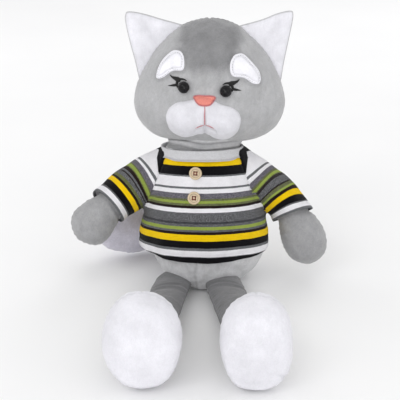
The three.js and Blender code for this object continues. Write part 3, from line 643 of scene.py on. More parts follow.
def trunk_value(p):
    s = p @ UP
    y = -(p @ FORE)
    a, f, b = (np.interp(s, TRUNK_S[:, 0], TRUNK_S[:, k]) for k in (1, 2, 3))
    c = np.where(y < 0, f, b)
    # the middle line leans with the trunk, so only the sideways part moves
    x = p[:, 0] - trunk_x(s)
    r = np.sqrt((x / np.maximum(a, 1)) ** 2 + (y / np.maximum(c, 1)) ** 2)
    return (r - 1) * np.sqrt(np.maximum(x * x + y * y, 1)) / np.maximum(r, 1e-3)


def sleeve_value(p, side):
    t, off, r, _ = line_coordinates(p, SLEEVE_LINE[side])
    return np.linalg.norm(off, axis=1) - r


# ------------------------------------------------------------------ trunk
def build_trunk():
    g = TRUNK.build(130, 190)
    p = g.p
    s = p @ UP
    side = (g.phi * g.radius)
    d = lumps(p, 11, 0.9, 0.2)
    front = (g.p[:, 1] < s * UP[1])
    belly = np.where(front, p[:, 0] + 3.4 + 0.8 * np.sin(s / 9), 99)
    back = np.where(~front, p[:, 0] - trunk_x(s), 99)
    d += seam(belly, g.arc, 0.8, 0.9, 0.3, 6.0) + seam(back, g.arc, 1.1, 0.9, 0.35, 6.0)
    # where each leg is sewn in, the cloth is pulled to the seam
    crease = 0
    for k in SIDES:
        q = p - (HIP[k] + np.array([0, 2, 0]))
        r = np.linalg.norm(q * np.array([1, 0.75, 1]), axis=1)
        around = np.arctan2(q[:, 2], q[:, 0]) * 19
        ring = bell(r - 19.5, 3.2)
        d += -1.0 * ring + 0.3 * ring * np.cos(around / 1.1)
        crease = crease + ring
    q = np.linalg.norm(p - TAIL_ROOT, axis=1)
    d += -1.2 * bell(q - 13.5, 3.0)
    crease = crease + bell(q - 13.5, 3.0)
    g.push(d)
    z = g.p[:, 2]
    g.p[:, 2] = np.where(z < 6, 1.3 * np.log1p(np.exp(np.clip(z, -60, 6) / 1.3)), z)
    g.p[:, 2] -= g.p[:, 2].min() - 0.05
    # painted light and shade: the body's grey is drawn 1.26 times lighter to offset the shade under the hem, and the
    # seams and the rings where legs and tail are sewn in are darkened as painted shade
    tone = shade(GREY * 1.26, len(p), np.clip(0.7 * bell(belly, 0.9) + bell(back, 0.9) + 0.3 * crease, 0, 1), fbm(p, 14, 5))
    o = make("body_plush", g, PLUSH, tone)
    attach(o, "torso")
    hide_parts("body_skin", "body_stuffing", "pellet_bag")
    return g, o


trunk, body_piece = build_trunk()

# ------------------------------------------------------------------ pullover
HEM_AT, HEM_N = np.array([0, -46, 36.0]), np.array([0, -math.sin(math.radians(2)), -math.cos(math.radians(2))])
RAGLAN = {"left": (np.array([36.5, 0, 118.0]), np.array([50.5, 0, 79.0])), "right": (np.array([-32.0, 0, 118.0]), np.array([-47.5, 0, 79.0]))}


def smin(a, b, k):
    h = np.clip(0.5 + 0.5 * (b - a) / k, 0, 1)
    return b + (a - b) * h - k * h * (1 - h)


def pull_value(p):
    s = p @ UP
    flare = 0.8 * sstep(46 - s, 0, 16)
    v = trunk_value(p) - 2.9 - flare
    for k in SIDES:
        v = smin(v, sleeve_value(p, k), 7.0)
    return v


def build_pullover():
    # a first closed skin round trunk and sleeves
    shell = TRUNK.build(60, 90)
    shell.push(np.full(len(shell.p), 2.9))
    parts = [shell]
    for k in SIDES:
        line = SLEEVE_LINE[k]
        rows = [[*line[0, :3], 0, 0, 0]] + [[*r[:3], r[3], r[3], r[3]] for r in line[1:]]
        end = line[-1, :3] + (line[-1, :3] - line[-2, :3])
        parts.append(Form(rows + [[*end, 10, 10, 10], [*(end + (line[-1, :3] - line[-2, :3]) * 0.2), 0, 0, 0]]).build(40, 40))
    bm = bmesh.new()
    for s in parts:
        verts = [bm.verts.new(v) for v in s.p.tolist()]
        for f in s.faces:
            bm.faces.new([verts[i] for i in f])
    mesh = bpy.data.meshes.new("scratch")
    bm.to_mesh(mesh)
    bm.free()
    o = bpy.data.objects.new("scratch", mesh)
    bpy.context.scene.collection.objects.link(o)
    m = o.modifiers.new("remesh", "REMESH")
    m.mode = "VOXEL"
    m.voxel_size = 1.75
    dg = bpy.context.evaluated_depsgraph_get()
    e = bpy.data.meshes.new_from_object(o.evaluated_get(dg))
    bpy.data.objects.remove(o)
    bm = bmesh.new()
    bm.from_mesh(e)
    bpy.data.meshes.remove(e)
    # drop what lies outside the useful region early
    for at, n in ((HEM_AT, HEM_N),):
        bmesh.ops.bisect_plane(bm, geom=bm.verts[:] + bm.edges[:] + bm.faces[:], plane_co=at, plane_no=n, clear_outer=True)
    bm.verts.ensure_lookup_table()
    p = np.array([v.co for v in bm.verts])
    edge_vert = np.array([v.is_boundary for v in bm.verts])
    for _ in range(4):
        e0 = 0.3
        v = pull_value(p)
        grad = np.stack([(pull_value(p + np.eye(3)[k] * e0) - v) / e0 for k in range(3)], 1)
        step = grad * (v / np.maximum((grad**2).sum(1), 0.3))[:, None]
        step = np.clip(step, -3, 3)
        # points on the hem line stay in its plane
        for at, n in ((HEM_AT, HEM_N),):
            nn = n / np.linalg.norm(n)
            on = edge_vert & (np.abs((p - at) @ nn) < 1e-2)
            step[on] -= nn * (step[on] @ nn)[:, None]
        p = p - step
    for v, c in zip(bm.verts, p):
        v.co = c
    bmesh.ops.smooth_vert(bm, verts=[v for v in bm.verts if not v.is_boundary], factor=0.5, use_axis_x=True, use_axis_y=True, use_axis_z=True)
    return bm


pull_bm = build_pullover()
CAMERA_AT = np.array([0, -927.2, 453.6])


def sleeve_courses(p, side):
    t, off, r, tangent = line_coordinates(p, SLEEVE_LINE[side])
    v = CAMERA_AT - p
    v /= np.linalg.norm(v, axis=1)[:, None]
    v -= tangent * (v * tangent).sum(1)[:, None]
    v /= np.linalg.norm(v, axis=1)[:, None]
    # the cloth's rows lean: further along at the front than at the silhouette
    up = np.cross(tangent, v)
    up *= np.where(up[:, 2] < 0, -1, 1)[:, None]
    u = t + 0.32 * (off * v).sum(1)
    if side == "left":
        u -= 0.18 * (off * up).sum(1)
    angle = np.arctan2((off * v).sum(1), (off * up).sum(1))
    # next to the raglan seam by the collar the first dark rows show as a wedge
    hi, lo = RAGLAN[side]
    n = np.cross(lo - hi, np.array([0, 1.0, 0]))
    n *= np.sign(n[0]) * SIGN[side]
    n /= np.linalg.norm(n)
    wedge = 6.0 * np.clip((p @ UP - 102) / 14, 0, 1)
    u = np.where(wedge > 0.3, np.minimum(u, 17 + ((p - hi) @ n - wedge) * 14), u)
    return u, angle * 18.5, t


CUFF = {"right": 82.4, "left": 86.0}


def panel(bm, name, which):
    """One sewn panel of the pullover, cut from the whole skin on its seam planes."""
    b = bm.copy()
    geom = lambda: b.verts[:] + b.edges[:] + b.faces[:]
    for k in SIDES:
        hi, lo = RAGLAN[k]
        along = lo - hi
        n = np.cross(along, np.array([0, 1, 0]))
        n *= np.sign(n[0]) * SIGN[k]
        n /= np.linalg.norm(n)
        at = hi + np.array([0, hi[2] * UP[1], 0])
        if which == "body":
            bmesh.ops.bisect_plane(b, geom=geom(), plane_co=at, plane_no=n, clear_outer=True)
        elif which == k:
            bmesh.ops.bisect_plane(b, geom=geom(), plane_co=at, plane_no=n, clear_inner=True)
    if which != "body":
        # the side of the trunk below the armpit stays with the body panel
        low = [v for v in b.verts]
        p = np.array([v.co for v in low])
        tv, sv = trunk_value(p) - 2.9, sleeve_value(p, which)
        drop = ((tv < sv - 0.0) & (p @ UP < 84)) | (np.sign(p[:, 0]) != SIGN[which])
        bmesh.ops.delete(b, geom=[v for v, d in zip(low, drop) if d], context="VERTS")
    return b


def measure(b):
    p = np.array([v.co for v in b.verts])
    faces = [[v.index for v in f.verts] for f in b.faces]
    return Shape(p, faces)


# the whole skin is divided face by face: a face is a sleeve's where the sleeve's own form carries it
def split_pullover():
    bm = pull_bm
    for k in SIDES:
        hi, lo = RAGLAN[k]
        n = np.cross(lo - hi, np.array([0, 1.0, 0]))
        n *= np.sign(n[0]) * SIGN[k]
        n /= np.linalg.norm(n)
        bmesh.ops.bisect_plane(bm, geom=bm.verts[:] + bm.edges[:] + bm.faces[:], plane_co=hi, plane_no=n)
    # the armpit seam and the cuffs are level lines of a value
    bm.verts.ensure_lookup_table()
    bm.verts.index_update()
    whole = measure(bm)
    p = whole.p
    s = p @ UP
    region = np.zeros(len(whole.faces), int)
    centre = np.array([p[f].mean(0) for f in whole.faces])
    for i, k in enumerate(SIDES):
        hi, lo = RAGLAN[k]
        n = np.cross(lo - hi, np.array([0, 1.0, 0]))
        n *= np.sign(n[0]) * SIGN[k]
        n /= np.linalg.norm(n)
        outside = ((centre - hi) @ n > 0)
        arm = sleeve_value(centre, k) < trunk_value(centre) - 2.9
        top = centre @ UP > 84
        region[outside & (arm | top) & (np.sign(centre[:, 0]) == SIGN[k])] = i + 1
    return whole, region


whole, region = split_pullover()


def from_neck(p):
    v = p - NECK
    along = v @ UP
    out = v - along[:, None] * UP
    return np.linalg.norm(out, axis=1), out


def sub_shape(shape, mask):
    faces = [f for f, m in zip(shape.faces, mask) if m]
    used = np.zeros(len(shape.p), bool)
    for f in faces:
        used[f] = True
    index = np.cumsum(used) - 1
    return Shape(shape.p[used], [[int(index[i]) for i in f] for f in faces]), used


def boundary_of(shape):
    count = {}
    for f in shape.faces:
        for a, b in zip(f, f[1:] + f[:1]):
            key = (a, b) if a < b else (b, a)
            count[key] = count.get(key, 0) + 1
    edge = np.zeros(len(shape.p), bool)
    for (a, b), c in count.items():
        if c == 1:
            edge[[a, b]] = True
    return edge


# folds and seams belong to the whole skin, so that panels still meet
def drape(p):
    s = p @ UP
    x = p[:, 0] - trunk_x(s)
    y = -(p @ FORE)
    ang = np.arctan2(x, -y)
    d = 0.55 * fbm(p, 17, 31, 2) + 0.12 * fbm(p, 5, 33, 2)
    onbody = sstep(sleeve_value(p, "left"), -1, 6) * sstep(sleeve_value(p, "right"), -1, 6)
    # soft upright folds that grow to the hem
    low = sstep(74 - s, 0, 44) * onbody
    d += low * (0.9 * np.sin(ang * 7 + 0.6 * np.sin(ang * 2.0)) * (0.35 + 0.65 * sstep(np.abs(x), 14, 46)) + 0.3 * np.sin(ang * 15 + 1.0))
    # hem: a turned edge with its line of stitching
    h = (p - HEM_AT) @ (-HEM_N / np.linalg.norm(HEM_N))
    d += onbody * (0.5 * sstep(5.4 - h, 0, 1.2) - 0.55 * bell(h - 5.6, 0.7))
    crease_shade = onbody * bell(h - 5.6, 0.8)
    for k in SIDES:
        hi, lo = RAGLAN[k]
        n = np.cross(lo - hi, np.array([0, 1.0, 0]))
        n *= np.sign(n[0]) * SIGN[k]
        n /= np.linalg.norm(n)
        dist = (p - hi) @ n
        on = sstep(s, 80, 86) * (np.sign(p[:, 0]) == SIGN[k])
        d += on * (-0.8 * bell(dist, 1.0) + 0.35 * bell(np.abs(dist) - 2.0, 1.2))
        d += on * 0.25 * np.cos(s * 2 * math.pi / 6.0) * np.exp(-np.abs(dist) / 4)
        crease_shade = crease_shade + on * bell(dist, 0.9)
        # armpit folds that run out from the fork
        q = p - np.array([SIGN[k] * 50.0, 14.0, 79.0])
        r = np.linalg.norm(q, axis=1)
        star = np.arctan2(q[:, 2], q[:, 0] * SIGN[k])
        d += 0.8 * np.sin(star * 6 + 0.8) * bell(r - 11, 9)
        t, off, rad_, tan_ = line_coordinates(p, SLEEVE_LINE[k])
        near = sstep(6 - (np.linalg.norm(off, axis=1) - rad_), 0, 6) * (np.sign(p[:, 0]) == SIGN[k])
        d += near * sstep(t, 34, 46) * 0.45 * np.sin(t / 4.6 + 2.0 * np.arctan2(off[:, 1], off[:, 2])) * (1 - sstep(t, 70, 78))
    return d, np.clip(crease_shade, 0, 1)


d, crease_shade = drape(whole.p)
whole.push(d)
# the round opening at the neck
OPEN_R = 37.2
mid = np.array([whole.p[f].mean(0) for f in whole.faces])
inside = ((from_neck(mid)[0] < OPEN_R) & (mid @ UP > 98) & (region > 0)) | ((region == 0) & (mid @ UP > 117.0))
whole.faces = [f for f, m in zip(whole.faces, inside) if not m]
region = region[~inside]
rn, out_n = from_neck(whole.p)
count = {}
for f in whole.faces:
    for a, b in zip(f, f[1:] + f[:1]):
        key = (a, b) if a < b else (b, a)
        count[key] = count.get(key, 0) + 1
rim = np.zeros(len(whole.p), bool)
for (a, b), c in count.items():
    if c == 1:
        rim[[a, b]] = True
level = rim & (np.abs(whole.p @ UP - 117.0) < 1.6)
whole.p[level] += UP * (117.0 - whole.p[level] @ UP)[:, None]
rim &= ~level & (whole.p @ UP > 98) & (np.abs(rn - OPEN_R) < 4)
whole.p[rim] += out_n[rim] / rn[rim][:, None] * (OPEN_R - rn[rim])[:, None]


def finish_cloth(o, thickness, rim_bevel=True):
    m = o.modifiers.new("thickness", "SOLIDIFY")
    m.thickness = thickness * MM
    m.offset = -1
    m.use_rim = True
    m.use_even_offset = False
    dg = bpy.context.evaluated_depsgraph_get()
    mesh = bpy.data.meshes.new_from_object(o.evaluated_get(dg))
    o.modifiers.clear()
    old = o.data
    o.data = mesh
    bpy.data.meshes.remove(old)
    mesh.name = o.name
    return o


def under_arms(front):
    """The panel's own cloth goes on under the arm, where the sleeve lies over it."""
    g = TRUNK.build(150, 210)
    g.push(np.full(len(g.p), 2.35))
    c = np.array([g.p[f].mean(0) for f in g.faces])
    level = c @ UP
    m = np.zeros(len(c), bool)
    for k in SIDES:
        m |= (sleeve_value(c, k) < 3.5) & (np.sign(c[:, 0]) == SIGN[k])
    m &= (level > 50) & (level < 101) & ((c @ FORE > 0) if front else (c @ FORE <= 0))
    return sub_shape(g, m)[0]


def body_panels():
    sub, used = sub_shape(whole, region == 0)
    tone = np.ones((len(sub.p), 3))
    sub.s = sub.p @ UP
    for name, front in (("pullover_front_panel", True), ("pullover_back_panel", False)):
        c = np.array([sub.p[f].mean(0) for f in sub.faces])
        # side seams run down the middle of each side
        m = (c @ FORE > 0) if front else (c @ FORE <= 0)
        part, u2 = sub_shape(sub, m)
        more = under_arms(front)
        base = len(part.p)
        part = Shape(np.vstack([part.p, more.p]), part.faces + [[i + base for i in f] for f in more.faces])
        s = part.p @ UP
        x = part.p[:, 0] - trunk_x(s)
        y = -(part.p @ FORE)
        ang = np.arctan2(x, -y if front else y)
        o = make(name, part, KNIT_BODY, None, {"course": s, "wale": ang * 50.0})
        finish_cloth(o, 1.5)
        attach(o, "torso")
        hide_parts("pullover_front" if front else "pullover_back")
        c2 = part.p
        width = 135.0 if front else 135.0


def sleeve_panel(side):
    i = SIDES.index(side) + 1
    sub, used = sub_shape(whole, region == i)
    # cut the open end at the cuff: rows beyond it are dropped, and the last row is slid onto the line
    u, wale, t = sleeve_courses(sub.p, side)
    keep = u < CUFF[side] + 1.6
    sub = keep_faces(sub, keep)
    u, wale, t = sleeve_courses(sub.p, side)
    edge = boundary_of(sub) & (u > CUFF[side] - 6)
    _, off, _, tangent = line_coordinates(sub.p, SLEEVE_LINE[side])
    sub.p[edge] += tangent[edge] * (CUFF[side] - u[edge])[:, None]
    u, wale, t = sleeve_courses(sub.p, side)
    # a turned cuff edge
    sub.push(0.45 * sstep(u, CUFF[side] - 4.6, CUFF[side] - 3.6) - 0.5 * bell(u - (CUFF[side] - 5.0), 0.7))
    o = make("sleeve_knit_" + side, sub, KNIT_SLEEVE[side], None, {"course": u, "wale": wale})
    finish_cloth(o, 1.5)
    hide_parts("sleeve_" + side)
    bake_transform(o)
    return o


body_panels()
for side in SIDES:
    sleeve_panel(side)

# ------------------------------------------------------------------ collar band and neck
def lathe(profile, nv, centre, tilt, name=None):
    """Turned about a leaning axis: profile is a list of radius, height."""
    prof = np.asarray(profile, float)
    phi = np.linspace(-math.pi, math.pi, nv, endpoint=False)
    x = prof[:, 0:1] * np.sin(phi)
    y = -prof[:, 0:1] * np.cos(phi)
    z = np.repeat(prof[:, 1:2], nv, 1)
    c, s = math.cos(tilt), math.sin(tilt)
    p = np.stack([x, y * c + z * s, -y * s + z * c], 2).reshape(-1, 3) + centre
    n = len(prof)
    k = np.arange(nv)
    k2 = (k + 1) % nv
    faces = []
    for j in range(n - 1):
        faces += np.stack([j * nv + k, j * nv + k2, (j + 1) * nv + k2, (j + 1) * nv + k], 1).tolist()
    sh = Shape(p, faces)
    sh.phi = np.tile(phi, n)
    sh.row = np.repeat(np.arange(n), nv)
    sh.v = np.repeat(prof[:, 1], nv)
    sh.r = np.repeat(prof[:, 0], nv)
    return sh


def build_collar():
    # outer face up from the seam, over the fold, and down inside
    outer = [(40.4, -8.8), (40.2, -7.8), (39.5, -6.4), (38.8, -4.5), (38.4, -2), (38.1, 0.5), (38.0, 3), (38.1, 4.8)]
    fold = [(37.9, 6.1), (37.2, 6.9), (36.3, 6.9), (35.7, 6.2), (35.4, 5.2), (35.1, 2), (34.9, -3), (35.2, -7.0)]
    prof = np.array(outer + fold)
    fine = []
    for a, b in zip(prof[:-1], prof[1:]):
        for t in np.linspace(0, 1, 3, endpoint=False):
            fine.append(a + (b - a) * t)
    fine.append(prof[-1])
    g = lathe(fine, 240, NECK, LEAN)
    rise = (1 - np.cos(g.phi)) / 2
    # its lower edge rises to the panels' top corners, where it goes in under them
    corner = bell(np.abs(np.sin(g.phi)) - 0.82, 0.13)
    v = np.where(g.v > 0, g.v * (2.6 + 2.2 * rise) / 6.9, g.v * (6.5 + 2.1 * rise - (1.5 + 2.1 * rise) * corner) / 8.8)
    g.p += (v - g.v)[:, None] * UP
    # the collar is not quite round, and it hugs the shoulders
    ang = g.phi
    d = -0.7 * np.sin(ang) ** 2 * sstep(-g.v, 3, 8) * (g.r > 36) + 0.25 * np.sin(2 * ang + 0.5) + 0.3 * fbm(g.p, 14, 61, 2) + 0.12 * np.sin(ang * 34) * bell(g.v + 7.4, 1.6)
    g.push(d)
    # painted shade: the tone darkens along the lower edge, where the band goes in under the panels
    tone = np.ones((len(g.p), 3)) * (1 - 0.25 * bell(g.v + 7.4, 1.0))[:, None]
    o = make("collar_band", g, JERSEY, tone, {"course": g.v, "wale": ang * 38})
    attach(o, "torso")
    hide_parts("pullover_collar")


build_collar()


def build_neck():
    prof = [(31.5, -14), (32.5, -10), (33.2, -6), (33.4, -2), (33.4, 2), (33.2, 5.0), (33.2, 7.2), (32.9, 8.6), (33.5, 10.2), (34.2, 12.0),
            (33.8, 13.6), (32.9, 14.8), (33.4, 16.4), (33.6, 18.4), (32.6, 20.2), (30, 22.2), (25, 24), (18, 25)]
    prof = np.array(prof, float)
    t = np.linspace(0, 1, 110)
    arc = np.r_[0, np.cumsum(np.linalg.norm(np.diff(prof, axis=0), axis=1))]
    fine = np.array([np.interp(t * arc[-1], arc, prof[:, k]) for k in (0, 1)]).T
    g = lathe(fine, 220, NECK, LEAN * 0.7)
    ang = g.phi
    g.p[:, 0] += 0.33 * np.clip(g.v, -4, 20)
    # folds of the cloth between head and body
    wander = 1.6 * np.sin(ang * 2 + 0.7) + 0.8 * np.sin(ang * 5 + 2)
    d = 1.15 * np.sin((g.v + wander) * 2 * math.pi / 6.8) * sstep(g.v, 1, 8) * (1 - sstep(g.v, 19, 25)) + 0.25 * fbm(g.p, 7, 71, 2)
    g.push(d)
    # painted shade: dark darkens the fold grooves, and the band just above the collar is darkened where the neck goes
    # into it
    dark = bell((((g.v + wander) / 6.8) % 1) - 0.75, 0.18) * sstep(g.v, 2, 8)
    tone = shade(GREY * 1.05, len(g.p), np.clip(dark + 0.9 * bell(g.v - 5, 3.2), 0, 1), fbm(g.p, 12, 72), 0.42)
    o = make("neck_plush", g, PLUSH, tone)
    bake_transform(o)
    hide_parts("neck_skin", "neck_stuffing")
    return o


neck_piece = build_neck()

# ------------------------------------------------------------------ head
EYES = {"left": np.array([13.4, -50.2, 6.4]), "right": np.array([-22.6, -47.2, 9.0])}
EYE_AIM = {"left": (16, 3), "right": (-24, 5)}
EAR = {
    "right": dict(low=(-63.4, 0.5), top=(-25.0, 51.6), tip=(-74.6, 63.4), outer=[(-67, 18), (-71.4, 36), (-74.8, 53)], inner=[(-60, 61.5), (-44, 57)]),
    "left": dict(low=(64.6, -0.5), top=(26.6, 50.6), tip=(74.2, 64.2), outer=[(67, 17), (70.4, 36), (73.4, 53)], inner=[(60.5, 61.6), (46, 56)]),
}
BROW = {
    "right": [(-46.6, 12.6), (-43, 24), (-33, 34.5), (-25.6, 36), (-22, 31.5), (-23, 22.5), (-32, 20.2), (-41, 13.5)],
    "left": [(16.8, 26.4), (20.4, 33), (28.2, 33.4), (36.6, 26), (43.4, 16.2), (42.9, 8.8), (36.6, 10), (29.4, 15), (19, 17.8)],
}


def loop_of(points, n=120, smooth=1):
    """A closed smooth line through points."""
    q = np.asarray(points, float)
    m = len(q)
    t = np.linspace(0, m, n, endpoint=False)
    i = np.floor(t).astype(int)
    f = (t - i)[:, None]
    a, b, c, d = q[(i - 1) % m], q[i % m], q[(i + 1) % m], q[(i + 2) % m]
    out = 0.5 * (2 * b + (c - a) * f + (2 * a - 5 * b + 4 * c - d) * f * f + (3 * b - a - 3 * c + d) * f**3)
    return out


def loop_distance(p2, loop):
    """Signed distance in the plane: below zero inside."""
    a = loop
    b = np.roll(loop, -1, 0)
    d = np.full(len(p2), 1e9)
    inside = np.zeros(len(p2), bool)
    for u, v in zip(a, b):
        e = v - u
        w = p2 - u
        t = np.clip((w @ e) / max(e @ e, 1e-9), 0, 1)
        d = np.minimum(d, np.linalg.norm(w - t[:, None] * e, axis=1))
        c = ((u[1] > p2[:, 1]) != (v[1] > p2[:, 1])) & (p2[:, 0] < (v[0] - u[0]) * (p2[:, 1] - u[1]) / (v[1] - u[1] + 1e-12) + u[0])
        inside ^= c
    return np.where(inside, -d, d)


def build_head():
    g = HEAD_FORM.build(170, 250)
    p = g.p
    q = p - HEAD
    d = lumps(p, 21, 0.8, 0.18)
    groove_shade = np.zeros(len(p))
    for k in SIDES:
        e = EYES[k]
        r = np.linalg.norm(q - e, axis=1)
        d += -2.0 * bell(r, 8.5) + 0.5 * bell(r - 9.5, 3.0)
    front = q[:, 1] < 0
    # stitched edge of each brow patch and the pull of the eye threads
    for k in SIDES:
        dist = loop_distance(q[:, [0, 2]], loop_of(BROW[k], 60))
        d += np.where(front, -1.0 * bell(dist - 0.8, 1.6), 0)
        groove_shade += np.where(front, 0.5 * bell(dist - 1.0, 1.3), 0)
    for c in ((-32.3, -21.3, 43.2), (28.2, -27.4, 41.1)):
        r = np.linalg.norm(q - np.array(c), axis=1)
        star = np.arctan2(q[:, 2] - c[2], q[:, 0] - c[0])
        d += -1.5 * bell(r, 3.4) + 0.3 * np.cos(star * 6) * bell(r - 5, 3)
        groove_shade += 0.55 * bell(r, 2.6)
    # the seam that joins face and back of the head, which also takes the ears
    side = q[:, 1] - 6.5
    arc = np.arctan2(q[:, 2], np.abs(q[:, 0])) * 62
    band = sstep(q[:, 2], -52, -46)
    d += band * seam(side, arc, 0.9, 1.0, 0.3, 5.0)
    groove_shade += band * 0.5 * bell(side, 1.0)
    back = np.where(q[:, 1] > 6, q[:, 0], 99)
    d += seam(back, q[:, 2], 0.9, 0.9, 0.3, 5.5)
    groove_shade += 0.6 * bell(back, 0.9)
    # a soft valley down the forehead to the nose
    d += np.where(front, -0.9 * bell(q[:, 0] + 5, 9) * sstep(q[:, 2], -2, 6) * (1 - sstep(q[:, 2], 16, 30)), 0)
    g.push(d)
    # the crown is darker, and fades towards the brows
    half = 15 + 13 * sstep(q[:, 2], 8, 46)
    mid = -3.5 + 4.5 * sstep(q[:, 2], 10, 50)
    wob = 3.2 * fbm(p, 16, 81, 3)
    crown = (1 - sstep(np.abs(q[:, 0] - mid) + wob, half - 7, half + 5)) * sstep(q[:, 2] + wob * 1.2, 13, 31)
    crown = np.where(q[:, 1] > 20, crown * (1 - sstep(q[:, 1], 26, 44) * 0.6), crown)
    streak = 0.10 * fbm(p * np.array([1, 1, 0.5]), 7, 83, 3)
    base = GREY[None, :] * 0.84 * (1 - (crown * (1 + streak))[:, None]) + CROWN[None, :] * 0.92 * (crown * (1 + streak))[:, None]
    muzzle_shadow = 0
    # painted shade: groove_shade darkens the tone in the grooves at the brow edges, the eye-thread dimples and the
    # head seams
    tone = shade(base, len(p), np.clip(groove_shade + muzzle_shadow, 0, 1), fbm(p, 12, 82), 0.28)
    # the head is open round the neck
    r = np.linalg.norm(g.p - NECK, axis=1)
    deep = r < 33.5
    o_shape = g
    o_shape.tone = tone
    o_shape = keep_faces(g, ~deep)
    o = make("head_plush", o_shape, PLUSH, o_shape.tone)
    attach(o, "head")
    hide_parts("head_skin", "head_stuffing", "eye_washer_left", "eye_washer_right")
    return g, o


head, head_piece = build_head()


def head_value(p):
    q = p - HEAD
    a, f, b = (np.interp(q[:, 2], HEAD_Z[:, 0], HEAD_Z[:, k]) for k in (1, 2, 3))
    c = np.where(q[:, 1] < 0, f, b)
    r = np.sqrt((q[:, 0] / np.maximum(a, 1)) ** 2 + (q[:, 1] / np.maximum(c, 1)) ** 2)
    return (r - 1) * np.sqrt(np.maximum(q[:, 0] ** 2 + q[:, 1] ** 2, 1)) / np.maximum(r, 1e-3)


LOBES = [((-21, -32.5, -18.8), (19.8, 24.5, 20.5)), ((11.0, -33.5, -20.2), (19.8, 25, 20.8)), ((-5.0, -33, -14.5), (26.5, 26.3, 22.2))]


def build_muzzle():
    centre = np.array([-5.0, -22.0, -19.0])
    nu, nv = 90, 200
    theta = np.linspace(0.012, math.radians(96), nu)
    psi = np.linspace(-math.pi, math.pi, nv, endpoint=False)
    T, P = np.meshgrid(theta, psi, indexing="ij")
    direction = np.stack([np.sin(T) * np.cos(P), -np.cos(T), np.sin(T) * np.sin(P)], 2).reshape(-1, 3)
    direction = np.vstack([direction, [0, -1, 0]])
    total = 0
    k = 0.55
    for c, r in LOBES:
        c, r = np.array(c, float), np.array(r, float)
        o = (centre - c) / r
        v = direction / r
        A, B, C = (v * v).sum(1), 2 * (v @ o), (o @ o) - 1
        disc = B * B - 4 * A * C
        t = np.where(disc > 0, (-B + np.sqrt(np.maximum(disc, 0))) / (2 * A), 0)
        total = total + np.exp(k * np.clip(t, 0, 60))
    reach = np.log(total) / k
    p = HEAD + centre + direction * reach[:, None]
    kk = np.arange(nv)
    k2 = (kk + 1) % nv
    faces = []
    for j in range(nu - 1):
        faces += np.stack([j * nv + kk, (j + 1) * nv + kk, (j + 1) * nv + k2, j * nv + k2], 1).tolist()
    last = nu * nv
    faces += np.stack([np.full(nv, last), kk, k2], 1).tolist()
    g = Shape(p, faces)
    if (g.normals()[last] @ np.array([0, -1, 0])) < 0:
        g.faces = [f[::-1] for f in g.faces]
    q = g.p - HEAD
    cleft = bell(q[:, 0] + 4.5, 1.5) * sstep(-q[:, 2], 8, 12)
    d = 0.45 * fbm(g.p, 12, 91, 2) + 0.12 * fbm(g.p, 4, 92, 2) - 1.3 * cleft
    # cheeks of the muzzle swell either side of the line, and the mouth pulls in
    lip = bell(q[:, 2] + 24.6 - 0.42 * np.abs(q[:, 0] + 4.2) * -1, 1.6) * (np.abs(q[:, 0] + 4.2) < 9.5)
    d += -0.7 * lip
    outside = head_value(g.p)
    d += -0.9 * bell(outside - 0.6, 1.6)
    g.push(d)
    # painted shade: the tone darkens in the cleft between the lobes and along the edge where the muzzle meets the head
    tone = shade(WHITE * 0.88, len(g.p), np.clip(0.6 * cleft + 0.75 * bell(outside - 0.3, 1.2), 0, 1), fbm(g.p, 9, 93), 0.16)
    g.tone = tone
    keep = head_value(g.p) > -3.5
    r = np.linalg.norm(g.p - NECK, axis=1)
    g2 = keep_faces(g, keep & (r > 33.5))
    o = make("muzzle_plush", g2, PLUSH_WHITE, g2.tone)
    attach(o, "head")
    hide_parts("muzzle")
    return g2, o


muzzle, muzzle_piece = build_muzzle()
face_tree = tree_of(head, muzzle)
head_tree = tree_of(head)


def patch(name, loop, tree, height, material, centre=None, rings=14, edge=0.55, tone=None, across=(1, 0), dome=2.5, sink=0.7, extra=None):
    """A padded patch: an outline in x and z laid on the face and raised."""
    loop = np.asarray(loop, float)
    n = len(loop)
    c = loop.mean(0) if centre is None else np.asarray(centre, float)
    pts, rho_all, h_all = [], [], []
    for j in range(rings + 1):
        rho = (j / rings) ** 0.8
        for i in range(n):
            q = c + (loop[i] - c) * rho
            pts.append(q)
            rho_all.append(rho)
    pts = np.array(pts)
    rho_all = np.array(rho_all)
    dist = -loop_distance(pts, loop)
    rim_w = edge
    up = np.where(rho_all >= 0.999, -sink, height * (1 - (1 - np.clip(dist / (dome * 1.0), 0, 1)) ** 2) ** 0.5)
    out = []
    for (x, z), h in zip(pts, up):
        hit, nrm = fore_hit(tree, x + HEAD[0], z + HEAD[2])
        if hit is None:
            hit, nrm = np.array([x + HEAD[0], HEAD[1] - 40, z + HEAD[2]]), np.array([0, -1, 0])
        if nrm[1] > 0:
            nrm = -nrm
        out.append(hit + nrm * h)
    faces = []
    for j in range(rings):
        for i in range(n):
            a, b = j * n + i, j * n + (i + 1) % n
            faces.append([a, a + n, b + n, b])
    s = Shape(out, faces)
    if (s.normals() @ np.array([0, -1, 0])).mean() < 0:
        s.faces = [f[::-1] for f in s.faces]
    s.rho, s.xz, s.dist = rho_all, pts, dist
    if extra is not None:
        s.push(extra(s))
    rim = 1 - sstep(dist, 0.2, 1.2)
    floats = {"rim": rim, "across": pts @ np.asarray(across, float)}
    o = make(name, s, material, tone(s) if tone else None, floats)
    return s, o


